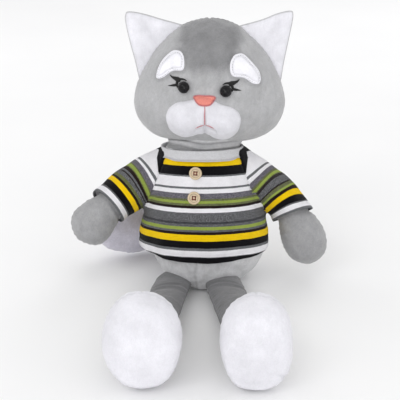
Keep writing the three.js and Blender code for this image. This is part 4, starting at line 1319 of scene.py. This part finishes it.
def tube(name, path, radius, material, twist=0.0, sections=8, taper=0.0, step=0.4):
    """A thread that follows a path of points."""
    path = np.asarray(path, float)
    arc = np.r_[0, np.cumsum(np.linalg.norm(np.diff(path, axis=0), axis=1))]
    n = max(6, int(arc[-1] / step))
    t = np.linspace(0, arc[-1], n)
    c = np.array([np.interp(t, arc, path[:, k]) for k in range(3)]).T
    T = np.gradient(c, axis=0)
    T /= np.maximum(np.linalg.norm(T, axis=1), 1e-9)[:, None]
    ref = np.array([0.0, -1.0, 0.0])
    A = np.cross(T, ref)
    A /= np.maximum(np.linalg.norm(A, axis=1), 1e-9)[:, None]
    B = np.cross(A, T)
    phi = np.linspace(0, 2 * math.pi, sections, endpoint=False)
    r = radius * np.ones(n)
    if taper:
        r = radius * np.clip(np.minimum(t, arc[-1] - t) / taper, 0.25, 1)
    wave = 1 + 0.14 * np.cos(2 * phi[None, :] + twist * t[:, None])
    p = c[:, None, :] + (A[:, None, :] * np.cos(phi)[None, :, None] + B[:, None, :] * np.sin(phi)[None, :, None]) * (r[:, None] * wave)[:, :, None]
    k = np.arange(sections)
    k2 = (k + 1) % sections
    faces = []
    for j in range(n - 1):
        faces += np.stack([j * sections + k, (j + 1) * sections + k, (j + 1) * sections + k2, j * sections + k2], 1).tolist()
    faces.append(list(range(sections)))
    faces.append([(n - 1) * sections + i for i in range(sections)][::-1])
    s = Shape(p.reshape(-1, 3), faces)
    return s


def merged(shapes):
    p, faces, base = [], [], 0
    for s in shapes:
        p.append(s.p)
        faces += [[i + base for i in f] for f in s.faces]
        base += len(s.p)
    return Shape(np.vstack(p), faces)


def on_face(points, tree, lift):
    out = []
    for x, z in points:
        hit, nrm = fore_hit(tree, x + HEAD[0], z + HEAD[2])
        if nrm[1] > 0:
            nrm = -nrm
        out.append(hit + nrm * lift)
    return np.array(out)


# nose: a padded rounded triangle in satin stitch
nose_loop = loop_of([(-13.2, 2.0), (-9.5, 2.6), (-4.7, 2.5), (0.1, 2.6), (3.8, 2.0), (4.5, 0.6), (2.6, -2.2), (0.0, -4.2), (-2.4, -4.7), (-4.7, -4.8), (-7.0, -4.7), (-9.4, -4.2), (-12.0, -2.2), (-13.9, 0.6)], 110)
nose_shape, nose = patch("nose_satin", nose_loop, face_tree, 1.9, SATIN_PINK, rings=18, dome=3.4, across=(1, 0), extra=lambda s: 0.06 * np.sin(s.xz[:, 0] * 2 * math.pi / 0.62))
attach(nose, "head"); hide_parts("nose")
outline = np.vstack([nose_loop, nose_loop[:1]])
outline = np.array([[x, z] for x, z in outline])
c0 = outline.mean(0)
edge_line = tube("x", on_face(c0 + (outline - c0) * 1.02, face_tree, 0.45), 0.42, None, 5.0)
nose_edge = make("nose_outline", edge_line, THREAD_PINK)
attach(nose_edge, "head")

# the line under the nose and the mouth
t = np.linspace(0, 1, 16)
down = np.stack([-4.6 + 0.1 * np.sin(t * 9), -4.9 - 16.3 * t], 1)
lips = [np.stack([-4.5 + k * 8.3 * t, -21.4 - 3.9 * t**1.25 + 0.5 * np.sin(t * math.pi)], 1) for k in (-1, 1)]
mouth = make("mouth_thread", merged([tube("x", on_face(down, face_tree, 0.30), 0.42, None, 4.0), *[tube("x", on_face(v, face_tree, 0.28), 0.42, None, 4.0, taper=3.0) for v in lips]]), THREAD_PINK)
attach(mouth, "head"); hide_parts("mouth")

# brows: white patches, rolled edges and a line of stitches inside
for side in SIDES:
    loop = loop_of(BROW[side], 110)
    # painted light and shade: the brow white is drawn 1.08 times lighter against the shade on it, and the stitch
    # groove and rolled edge are darkened as painted shade
    s, o = patch("brow_plush_" + side, loop, head_tree, 1.5, PLUSH_WHITE, rings=14, dome=2.4,
                 tone=lambda s: shade(WHITE * 1.08, len(s.p), np.clip(0.9 * bell(s.dist - 2.4, 0.5) + 0.5 * (1 - sstep(s.dist, 0, 0.8)), 0, 1), fbm(s.p, 8, 95), 0.20),
                 extra=lambda s: -0.55 * bell(s.dist - 2.4, 0.55) + 0.15 * fbm(s.p, 5, 96, 2))
    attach(o, "head"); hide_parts("brow_" + side)
    c0 = loop.mean(0)
    arc = np.r_[0, np.cumsum(np.linalg.norm(np.diff(np.vstack([loop, loop[:1]]), axis=0), axis=1))]
    stitches = []
    count = int(arc[-1] / 2.3)
    closed = np.vstack([loop, loop[:1]])
    for i in range(count):
        u = (i + 0.15) / count * arc[-1]
        pts = []
        for v in np.linspace(u, u + 1.5, 5):
            v = v % arc[-1]
            q = np.array([np.interp(v, arc, closed[:, 0]), np.interp(v, arc, closed[:, 1])])
            nq = q - c0
            pts.append(q - nq / np.linalg.norm(nq) * 2.2)
        lift = [0.8, 1.25, 1.35, 1.25, 0.8]
        stitches.append(tube("x", np.vstack([on_face([a], head_tree, b) for a, b in zip(pts, lift)]), 0.17, None, 3.0, 6, step=0.3))
    st = make("brow_stitches_" + side, merged(stitches), THREAD_GREY)
    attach(st, "head")


# eyes
def aimed_matrix(p, yaw, pitch):
    y, q = math.radians(yaw), math.radians(pitch)
    return Matrix.Translation(Vector(p)) @ Matrix.Rotation(y, 4, "Z") @ Matrix.Rotation(-q, 4, "X") @ Matrix.Rotation(math.pi / 2, 4, "X")


def transformed(shape, m):
    a = np.array(m)
    shape.p = shape.p @ a[:3, :3].T + a[:3, 3]
    return shape


def turned_solid(profile, nv):
    prof = np.asarray(profile, float)
    phi = np.linspace(0, 2 * math.pi, nv, endpoint=False)
    rings = [i for i in range(len(prof)) if prof[i, 0] > 1e-6]
    p = np.array([[prof[i, 0] * math.cos(a), prof[i, 0] * math.sin(a), prof[i, 1]] for i in rings for a in phi])
    faces = []
    k = np.arange(nv)
    k2 = (k + 1) % nv
    for j in range(len(rings) - 1):
        faces += np.stack([j * nv + k, j * nv + k2, (j + 1) * nv + k2, (j + 1) * nv + k], 1).tolist()
    p = np.vstack([p, [0, 0, prof[0, 1]], [0, 0, prof[-1, 1]]])
    a, b = len(p) - 2, len(p) - 1
    faces += np.stack([np.full(nv, a), k2, k], 1).tolist()
    last = (len(rings) - 1) * nv
    faces += np.stack([np.full(nv, b), last + k, last + k2], 1).tolist()
    return Shape(p, faces)


for side in SIDES:
    e = EYES[side] + HEAD
    th = np.linspace(-0.35, math.pi / 2, 22)
    prof = [(0, -2.2), (3.4, -2.2)] + [(5.15 * math.cos(a) ** 0.92 if math.cos(a) > 1e-6 else 0, 4.5 * math.sin(a) + 0.2) for a in th[:-1]] + [(0, 4.7)]
    s = transformed(turned_solid(prof, 56), aimed_matrix(e, *EYE_AIM[side]))
    o = make("eye_glossy_" + side, s, EYE)
    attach(o, "head"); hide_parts("eye_" + side)


# lashes: a stitched lid line with two flicks outside each eye
def ribbon(points, widths, tree, lift=0.5, n=40):
    """A raised satin strip along a line, wide where told."""
    q = np.asarray(points, float)
    m = len(q)
    t = np.linspace(0, m - 1, n)
    e = np.vstack([2 * q[0] - q[1], q, 2 * q[-1] - q[-2]])
    i = np.minimum(np.floor(t).astype(int), m - 2)
    f = (t - i)[:, None]
    a, b, c, d = e[i], e[i + 1], e[i + 2], e[i + 3]
    line = 0.5 * (2 * b + (c - a) * f + (2 * a - 5 * b + 4 * c - d) * f * f + (3 * b - a - 3 * c + d) * f**3)
    w = np.interp(t, np.arange(m), widths)
    T = np.gradient(line, axis=0)
    T /= np.linalg.norm(T, axis=1)[:, None]
    S = np.stack([-T[:, 1], T[:, 0]], 1)
    cols = 7
    pts, hs, ac = [], [], []
    for k in range(n):
        for j in range(cols):
            v = (j / (cols - 1)) * 2 - 1
            pts.append(line[k] + S[k] * w[k] * v)
            hs.append(-0.35 if abs(v) > 0.99 else lift * math.sqrt(1 - v * v) + 0.1)
            ac.append(k * 0.2)
    out = []
    for (x, z), h in zip(pts, hs):
        hit, nrm = fore_hit(tree, x + HEAD[0], z + HEAD[2])
        if nrm[1] > 0:
            nrm = -nrm
        out.append(hit + nrm * h)
    faces = []
    for k in range(n - 1):
        for j in range(cols - 1):
            a_ = k * cols + j
            faces.append([a_, a_ + 1, a_ + cols + 1, a_ + cols])
    s = Shape(out, faces)
    if (s.normals() @ np.array([0, -1, 0])).mean() < 0:
        s.faces = [f_[::-1] for f_ in s.faces]
    return s


for side in SIDES:
    ex, _, ez = EYES[side]
    m = 1 if side == "right" else -1
    polar = lambda r, a: (ex + m * r * math.cos(math.radians(a)), ez + r * math.sin(math.radians(a)))
    lid = ribbon([polar(5.5, 62), polar(5.9, 85), polar(6.3, 108), polar(6.6, 130), polar(6.5, 152), polar(6.0, 175), polar(5.6, 196)],
                 [0.3, 0.7, 1.05, 1.35, 1.35, 1.0, 0.3], head_tree, 0.8)
    flick = ribbon([polar(5.6, 118), polar(7.6, 133), polar(9.8, 141.5), polar(12.2, 146), polar(14.2, 146.5)], [2.1, 2.4, 1.7, 0.9, 0.15], head_tree, 0.8)
    low = ribbon([polar(5.4, 168), polar(8, 176), polar(10.6, 180), polar(13.4, 183)], [1.6, 1.3, 0.8, 0.15], head_tree, 0.7)
    o = make("lashes_satin_" + side, merged([lid, flick, low]), SATIN_BLACK, None, {"rim": np.zeros(len(lid.p) + len(flick.p) + len(low.p)), "across": np.r_[lid.p[:, 2], flick.p[:, 2], low.p[:, 2]]})
    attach(o, "head"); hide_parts("lashes_" + side)


# ------------------------------------------------------------------ ears
def build_ear(side):
    e = EAR[side]
    s = SIGN[side]
    chord_in = []
    low, top = np.array(e["low"], float), np.array(e["top"], float)
    inward = np.array([-(top - low)[1], (top - low)[0]])
    inward /= np.linalg.norm(inward)
    if inward[0] * s > 0:
        inward = -inward
    for t in (0.82, 0.5, 0.18):
        chord_in.append(tuple(top * t + low * (1 - t) + inward * 9))
    tip = np.array(e["tip"])
    near = lambda a, b, w: tuple(np.array(a) * (1 - w) + np.array(b) * w)
    pts = [tuple(low + inward * 3)] + [e["low"]] + list(e["outer"]) + [near(e["tip"], e["outer"][-1], 0.3), near(e["tip"], e["inner"][0], 0.2)] + list(e["inner"]) + [e["top"]] + [tuple(top + inward * 4)] + chord_in
    loop = loop_of(pts, 170)
    c = np.array([s * 56.0, 42.0])
    rings = 26
    out = {}
    for face in ("front", "back"):
        p2, rho = [], []
        for j in range(rings + 1):
            r = (j / rings) ** 0.75
            for q in loop:
                p2.append(c + (q - c) * r)
                rho.append(r)
        p2, rho = np.array(p2), np.array(rho)
        dist = -loop_distance(p2, loop)
        puff = 2.1 * np.sqrt(np.clip(1 - (1 - np.clip(dist / 7.0, 0, 1)) ** 2, 0, 1))
        # the whole ear is cupped a little, with a soft fold from the tip to the base
        base = (low + top) / 2
        axis = (tip - base) / np.linalg.norm(tip - base)
        across = (p2 - base) @ np.array([-axis[1], axis[0]])
        along = (p2 - base) @ axis
        cup = -1.3 * (across / 22.0) ** 2 * sstep(along, -5, 25) + 0.6
        fold = 1.0 * bell(across - 3.0 * s, 3.2) * sstep(along, 2, 14) * (1 - sstep(along, 30, 44))
        ripple = 0.3 * fbm(np.c_[p2, np.zeros(len(p2))], 9, 101 + (face == "back"), 2)
        pucker = 0.22 * np.cos(np.tile(np.arange(len(loop)), rings + 1) * 2 * math.pi / 5.0) * bell(dist - 1.5, 1.5)
        if face == "front":
            y = 6.0 + cup - puff + fold * 0.9 + ripple - pucker
        else:
            y = 6.35 + cup + puff + fold * 0.4 + ripple + pucker
        y = np.where(rho > 0.999, 6.15 + cup, y)
        p = np.stack([p2[:, 0] + HEAD[0], y + HEAD[1], p2[:, 1] + HEAD[2]], 1)
        n = len(loop)
        faces = []
        for j in range(rings):
            for i in range(n):
                a, b = j * n + i, j * n + (i + 1) % n
                faces.append([a, a + n, b + n, b])
        sh = Shape(p, faces)
        want = -1 if face == "front" else 1
        if (sh.normals()[:, 1]).mean() * want < 0:
            sh.faces = [f[::-1] for f in sh.faces]
        # painted shade: inner darkens the soft fold from the tip to the base, and both faces darken along the seam
        # inside the edge; the grey rim on the front is the back's cloth
        inner = bell(across - 3.0 * s, 4.0) * sstep(along, 0, 14) * (1 - sstep(along, 30, 44))
        if face == "front":
            rim = 1 - sstep(dist, 0.5, 1.5)
            base_tone = WHITE[None, :] * (1 - rim[:, None]) + GREY[None, :] * rim[:, None]
            tone = shade(base_tone, len(p), np.clip(0.5 * inner + 0.4 * bell(dist - 2.0, 0.8), 0, 1), fbm(p, 10, 103), 0.14)
        else:
            tone = shade(GREY, len(p), np.clip(0.6 * bell(dist - 1.2, 0.9), 0, 1), fbm(p, 10, 104), 0.22)
        o = make("ear_%s_plush_%s" % (face, side), sh, PLUSH_WHITE if face == "front" else PLUSH, tone)
        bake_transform(o)
        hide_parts("ear_%s_%s" % (face, side))


for side in SIDES:
    build_ear(side)


# ------------------------------------------------------------------ arms
def build_arm(side):
    g = Form(ARM_ROWS[side]).build(130, 110)
    p = g.p
    girth = g.phi * g.radius
    d = lumps(p, 41 + SIGN[side], 0.75, 0.2)
    crease_shade = 0
    for a in (math.pi / 2, -math.pi / 2):
        off = ((g.phi - a + math.pi) % (2 * math.pi) - math.pi) * np.maximum(g.radius, 3)
        d += seam(off, g.arc, 0.85, 0.9, 0.34, 5.0)
        crease_shade = crease_shade + bell(off, 0.9)
    t, off, r, tangent = line_coordinates(p, np.array([[x, y, z, rr] for x, y, z, rr, _, _ in ARM_ROWS[side]]))
    # wrinkles where the cuff presses
    u, wale, tt = sleeve_courses(p, side)
    cuff = u - CUFF[side]
    d += -0.9 * bell(cuff, 3.5) + 0.35 * np.sin(cuff / 1.6 + 2 * np.sin(g.phi)) * bell(cuff - 6, 6)
    g.push(d)
    # painted shade: the tone darkens along the seams and in the ring where the cuff presses
    tone = shade(GREY * 0.68, len(p), np.clip(crease_shade + 0.4 * bell(cuff, 4), 0, 1), fbm(p, 11, 45), 0.22)
    g.tone = tone
    sub = keep_faces(g, cuff > -16)
    o = make("arm_plush_" + side, sub, PLUSH, sub.tone)
    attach(o, "arm_" + side)
    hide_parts("arm_skin_" + side, "arm_stuffing_" + side)
    return g, o


arm_pieces = {side: build_arm(side)[1] for side in SIDES}


# ------------------------------------------------------------------ legs and feet
def leg_rows(side):
    H, A = HIP[side], ANKLE[side]
    # sewn on flat at the hip, under the overhang of the belly
    at = lambda t: list(H + (A - H) * t + np.array([0, 0, -2.8 * float(np.interp(t, [0.1, 0.75], [1, 0]))]))
    return [
        [*at(-0.12), 0, 0, 0], [*at(-0.09), 10, 5, 5], [*at(0.0), 16.0, 7.6, 8.2], [*at(0.1), 16.6, 8.2, 9], [*at(0.2), 16.6, 9.0, 10],
        [*at(0.45), 16.4, 11.4, 12.4], [*at(0.7), 15.6, 13.8, 14.2], [*at(0.9), 14.8, 14.6, 14.6], [*at(1.0), 14.6, 14.4, 14.4], [*at(1.08), 11.5, 11.5, 11.5], [*at(1.12), 0, 0, 0],
    ]


def build_leg(side):
    g = Form(leg_rows(side), (0, 0, 1)).build(150, 110)
    p = g.p
    H, A = HIP[side], ANKLE[side]
    axis = (A - H) / np.linalg.norm(A - H)
    t = (p - H) @ axis
    d = lumps(p, 51 + SIGN[side], 0.7, 0.2)
    crease_shade = 0
    for a in (math.pi / 2, -math.pi / 2):
        off = ((g.phi - a + math.pi) % (2 * math.pi) - math.pi) * np.maximum(g.radius, 3)
        d += seam(off, g.arc, 0.8, 0.9, 0.3, 5.5)
        crease_shade = crease_shade + bell(off, 0.9)
    # creases across the thigh by the body, and where the foot is sewn on
    lean = p[:, 0] * (-0.35 * SIGN[side])
    for c, w, h in ((17, 2.6, -1.2), (21.5, 2.2, 0.7), (27, 3.0, -0.7), (126, 3.0, -0.8)):
        top = sstep(p[:, 2], 8, 30)
        d += h * bell(t + lean - c + 7 * SIGN[side] * 0.3, w) * (0.35 + 0.65 * top)
    g.push(d)
    g.p[:, 2] = np.maximum(g.p[:, 2], 0.6 + 0.0 * t)
    # painted shade: dark darkens the crease across the thigh by the body, the seams darken too, and the legs take the
    # shaded grey
    dark = 0.45 * bell(t + lean - 17, 3) * sstep(p[:, 2], 10, 30)
    tone = shade(SHADED_GREY * 0.84, len(p), np.clip(crease_shade * 0.8 + dark, 0, 1), fbm(p, 10, 55), 0.28)
    o = make("leg_plush_" + side, g, PLUSH, tone)
    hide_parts("leg_skin_" + side, "leg_stuffing_" + side)
    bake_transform(o)
    return o


leg_pieces = {side: build_leg(side) for side in SIDES}


def foot_rows(side):
    if side == "left":
        x, k = 43, 27.2 / 29
        return [
            [x, -163.5, 33, 0, 0, 0], [x, -165.5, 33.5, 15 * k, 21, 21], [x, -172, 35.5, 24.5 * k, 31.3, 31.3],
            [x, -182, 37.4, 29 * k, 36.6, 36.6], [x, -193, 38.2, 29.4 * k, 37.2, 37.2], [x, -202, 39, 26 * k, 33, 33],
            [x, -207.5, 39, 16 * k, 21.5, 21.5], [x, -209.6, 39, 0, 0, 0],
        ]
    x, k = -44, 29.6 / 29
    return [
        [x, -163.5, 33, 0, 0, 0], [x, -165.5, 33.5, 15 * k, 21, 21], [x, -172, 36, 24.5 * k, 32, 32],
        [x, -182, 38.6, 29 * k, 37.6, 37.6], [x, -193, 39.8, 29.4 * k, 37.4, 37.4], [x, -202, 40.6, 26 * k, 32, 32],
        [x, -207.5, 40.6, 16 * k, 20.5, 20.5], [x, -209.6, 40.6, 0, 0, 0],
    ]


def build_foot(side):
    g = Form(foot_rows(side), (0, 0, 1)).build(120, 190, 0.88 if side == "left" else 0.96)
    p = g.p
    y = p[:, 1]
    x0 = 43 if side == "left" else -44
    around = np.arctan2(p[:, 2] - 38, p[:, 0] - x0)
    girth = around * 33
    d = lumps(p, 61 + SIGN[side], 1.0, 0.2)
    # sole and upper meet in a seam round the foot
    ring = y + 183 + 1.2 * np.sin(around * 2 + 1)
    d += seam(ring, girth, 0.9, 0.9, 0.45, 6.0, 6.0)
    heel = np.where(y > -180, p[:, 0] - x0, 99)
    d += seam(heel, p[:, 2], 0.7, 0.9, 0.25, 5.5)
    crease = 0
    if side == "left":
        q = p - np.array([66, -194, 14.0])
        a = q @ np.array([0.55, 0.0, 0.83])
        b = q @ np.array([0.83, 0.0, -0.55])
        crease = bell(a, 1.5) * bell(b, 8)
        d += -1.3 * crease + 0.6 * bell(a - 3, 2) * bell(b, 9)
    else:
        q = p - np.array([-22, -196, 12.0])
        a = q @ np.array([-0.6, 0.0, 0.8])
        b = q @ np.array([0.8, 0.0, 0.6])
        crease = 0.6 * bell(a, 1.5) * bell(b, 7)
        d += -0.9 * crease + 0.4 * bell(a - 3, 2) * bell(b, 8)
    g.push(d)
    z = g.p[:, 2]
    g.p[:, 2] = np.where(z < 6, 1.2 * np.log1p(np.exp(np.clip(z, -60, 6) / 1.2)), z)
    g.p[:, 2] -= min(0, g.p[:, 2].min() - 0.05)
    # painted shade: the tone darkens along the sole seam, the heel seam and the crease
    tone = shade(WHITE * 0.93, len(p), np.clip(0.8 * bell(ring, 1.0) + 0.6 * bell(heel, 0.9) + 0.5 * crease, 0, 1), fbm(p, 16, 65), 0.16)
    o = make("foot_plush_" + side, g, PLUSH_WHITE, tone)
    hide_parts("foot_skin_" + side, "foot_stuffing_" + side)
    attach(o, "foot_" + side)
    return o


foot_pieces = {side: build_foot(side) for side in SIDES}


# ------------------------------------------------------------------ tail
TAIL_ROWS = [
    [1, 37, 16.5, 0, 0, 0], [-1, 38.5, 16.6, 7, 7, 7], [-8, 43, 17, 11, 11, 11], [-25, 61, 20, 11.6, 15, 15],
    [-45, 62, 25.6, 12.6, 23.2, 23.2], [-64, 55, 29, 15, 26.8, 26.8], [-81, 49, 31.5, 15, 24, 24], [-93, 45, 34, 11.6, 17, 17], [-100, 43, 35.5, 0, 0, 0],
]


def build_tail():
    g = Form(TAIL_ROWS, (0, 0, 1)).build(150, 120)
    p = g.p
    d = lumps(p, 71, 1.1, 0.35)
    off = ((g.phi + math.pi) % (2 * math.pi) - math.pi) * np.maximum(g.radius, 3)
    crease_shade = 0
    for a in (0.0, math.pi):
        off = ((g.phi - a + math.pi) % (2 * math.pi) - math.pi) * np.maximum(g.radius, 3)
        d += seam(off, g.arc, 0.9, 0.9, 0.4, 6.0)
        crease_shade = crease_shade + bell(off, 0.9)
    g.push(d)
    # painted shade: the tone darkens along the two seams
    tone = shade(LILAC * 1.28, len(p), np.clip(crease_shade, 0, 1), fbm(p, 13, 75), 0.2)
    o = make("tail_plush", g, PLUSH_TAIL, tone)
    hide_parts("tail_skin", "tail_stuffing")
    a = np.array([-8, 43, 17.0])
    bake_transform(o)
    return o


tail_piece = build_tail()


# ------------------------------------------------------------------ buttons
def build_button(which, s_at, x_at, tilt_deg):
    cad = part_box("button_" + which)
    f = np.interp(s_at, TRUNK_S[:, 0], TRUNK_S[:, 2])
    at = np.array([x_at, 0, 0]) + UP * s_at + FORE * (f + 3.9)
    tree = tree_of(whole)
    hit, nrm = fore_hit(tree, at[0], at[2])
    nrm = nrm if nrm[1] < 0 else -nrm
    base = hit + nrm * 0.25
    R, T = 5.75, 2.3
    prof = [(0, 0), (4.6, 0), (5.3, 0.12), (5.65, 0.5), (5.75, 1.0), (5.62, 1.65), (5.2, 2.12), (4.7, 2.3), (4.25, 2.22), (3.9, 1.9), (3.6, 1.55), (3.1, 1.4), (0, 1.4)]
    fine = [prof[0]]
    for a, b in zip(prof[:-1], prof[1:]):
        for t in (0.34, 0.67, 1.0):
            fine.append((a[0] + (b[0] - a[0]) * t, a[1] + (b[1] - a[1]) * t))
    disc = turned_solid(fine, 64)
    zero = Matrix.Identity(4)
    z = Vector(nrm.tolist())
    rot = z.to_track_quat("Z", "Y").to_matrix().to_4x4()
    place = Matrix.Translation(Vector(base.tolist())) @ rot
    rim = disc.p[:, 2].copy()
    radial = np.linalg.norm(disc.p[:, :2], axis=1)
    local = disc.p.copy()
    transformed(disc, place)
    # painted shade: a dark ring where the dish steps down and a fainter one at the rim
    tone = np.ones((len(disc.p), 3)) * (1 - 0.28 * bell(radial - 3.7, 0.5) - 0.1 * bell(radial - 5.5, 0.3))[:, None]
    o = make("button_wood_" + which, disc, WOOD, tone)
    # four real holes
    holes = []
    d = 1.3
    for x, y in ((d, d), (-d, d), (-d, -d), (d, -d)):
        h = turned_solid([(0, -1), (0.78, -1), (0.78, 4), (0, 4)], 16)
        h.p[:, 0] += x
        h.p[:, 1] += y
        holes.append(transformed(h, place))
    cutter = make("cutter", merged(holes), WOOD)
    m = o.modifiers.new("holes", "BOOLEAN")
    m.operation = "DIFFERENCE"
    m.solver = "EXACT"
    m.object = cutter
    dg = bpy.context.evaluated_depsgraph_get()
    mesh = bpy.data.meshes.new_from_object(o.evaluated_get(dg))
    o.modifiers.clear()
    o.data = mesh
    bpy.data.objects.remove(cutter)
    bev = o.modifiers.new("edges", "BEVEL")
    bev.width = 0.00012
    bev.segments = 2
    bev.limit_method = "ANGLE"
    bev.angle_limit = math.radians(50)
    mesh.polygons.foreach_set("use_smooth", np.ones(len(mesh.polygons), bool))
    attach(o, "torso"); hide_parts("button_" + which)
    loops = []
    a3 = np.array(place)
    for (ax, ay), (bx, by) in (((d, d), (-d, d)), ((d, -d), (-d, -d)), ((d, d), (d, -d)), ((-d, d), (-d, -d))):
        for shift in (-0.22, 0.22):
            n = np.array([-(by - ay), bx - ax], float)
            n /= np.linalg.norm(n)
            pts = []
            for t in np.linspace(0, 1, 13):
                h = 1.35 + 0.5 * math.sin(math.pi * t) ** 0.6 if 0.0 < t < 1.0 else 0.2
                pts.append([ax + (bx - ax) * t + n[0] * shift * 0.9, ay + (by - ay) * t + n[1] * shift * 0.9, h])
            q = np.array(pts) @ a3[:3, :3].T + a3[:3, 3]
            loops.append(tube("x", q, 0.24, None, 6.0, 6, step=0.18))
    th = make("button_stitches_" + which, merged(loops), THREAD_BROWN)
    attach(th, "torso"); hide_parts("button_%s_thread" % which)


build_button("upper", 104.5, -3.8, 0)
build_button("lower", 83, -5.2, 0)

# ------------------------------------------------------------------ stage, light, camera
bpy.ops.mesh.primitive_plane_add(size=12, location=(0, 0, -0.0006))
floor = bpy.context.object
floor.name = "floor"
n = Nodes("floor_paper")
n.put(n.b.inputs["Base Color"], n.mix(n.span(n.noise(3.0, 3, 0.5, n.add("ShaderNodeTexCoord").outputs["Object"]), 0.3, 0.7, 0, 1), (0.86, 0.86, 0.865, 1), (0.89, 0.89, 0.893, 1)))
n.b.inputs["Roughness"].default_value = 0.9
set_shader(n.b, spec=0.1)
floor.data.materials.append(n.m)
floor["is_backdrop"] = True

world = bpy.data.worlds.new("studio")
bpy.context.scene.world = world
world.use_nodes = True
world.node_tree.nodes["Background"].inputs["Color"].default_value = (1.0, 1.0, 1.0, 1)
world.node_tree.nodes["Background"].inputs["Strength"].default_value = 0.88


def area(name, at, size, power, target=(0, 0, 0.1), colour=(1, 1, 1)):
    l = bpy.data.lights.new(name, "AREA")
    l.energy = power
    l.shape = "DISK"
    l.size = size
    l.color = colour
    o = bpy.data.objects.new(name, l)
    bpy.context.scene.collection.objects.link(o)
    o.location = at
    o.rotation_mode = "QUATERNION"
    o.rotation_quaternion = (Vector(target) - Vector(at)).to_track_quat("-Z", "Y")
    return o


area("front", (0.0, -2.0, 0.42), 1.7, 7.5, (0, 0, 0.1))
area("key", (-0.9, -1.2, 1.3), 0.8, 3.2)
area("fill", (1.2, -1.0, 0.6), 1.0, 1.2)
area("low", (0.0, -1.6, 0.10), 0.8, 2.6, (0, 0, 0.06))
area("rim", (0.5, 1.2, 1.0), 0.9, 3)
area("back_left", (-1.2, 0.8, 0.7), 1.0, 2.5)
area("glint", (-0.32, -1.25, 0.95), 0.09, 0.8)

cam_data = bpy.data.cameras.new("camera")
cam_data.lens = 99
cam_data.sensor_width = 36
cam_data.clip_start = 0.01
cam_data.clip_end = 30
cam = bpy.data.objects.new("camera", cam_data)
bpy.context.scene.collection.objects.link(cam)
cam.location = (0, -0.9272, 0.4536)
cam.rotation_mode = "QUATERNION"
cam.rotation_quaternion = (Vector((0, 0, 0.079)) - Vector(cam.location)).to_track_quat("-Z", "Y")
bpy.context.scene.camera = cam
bpy.context.scene.view_settings.view_transform = "Standard"

low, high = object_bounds()
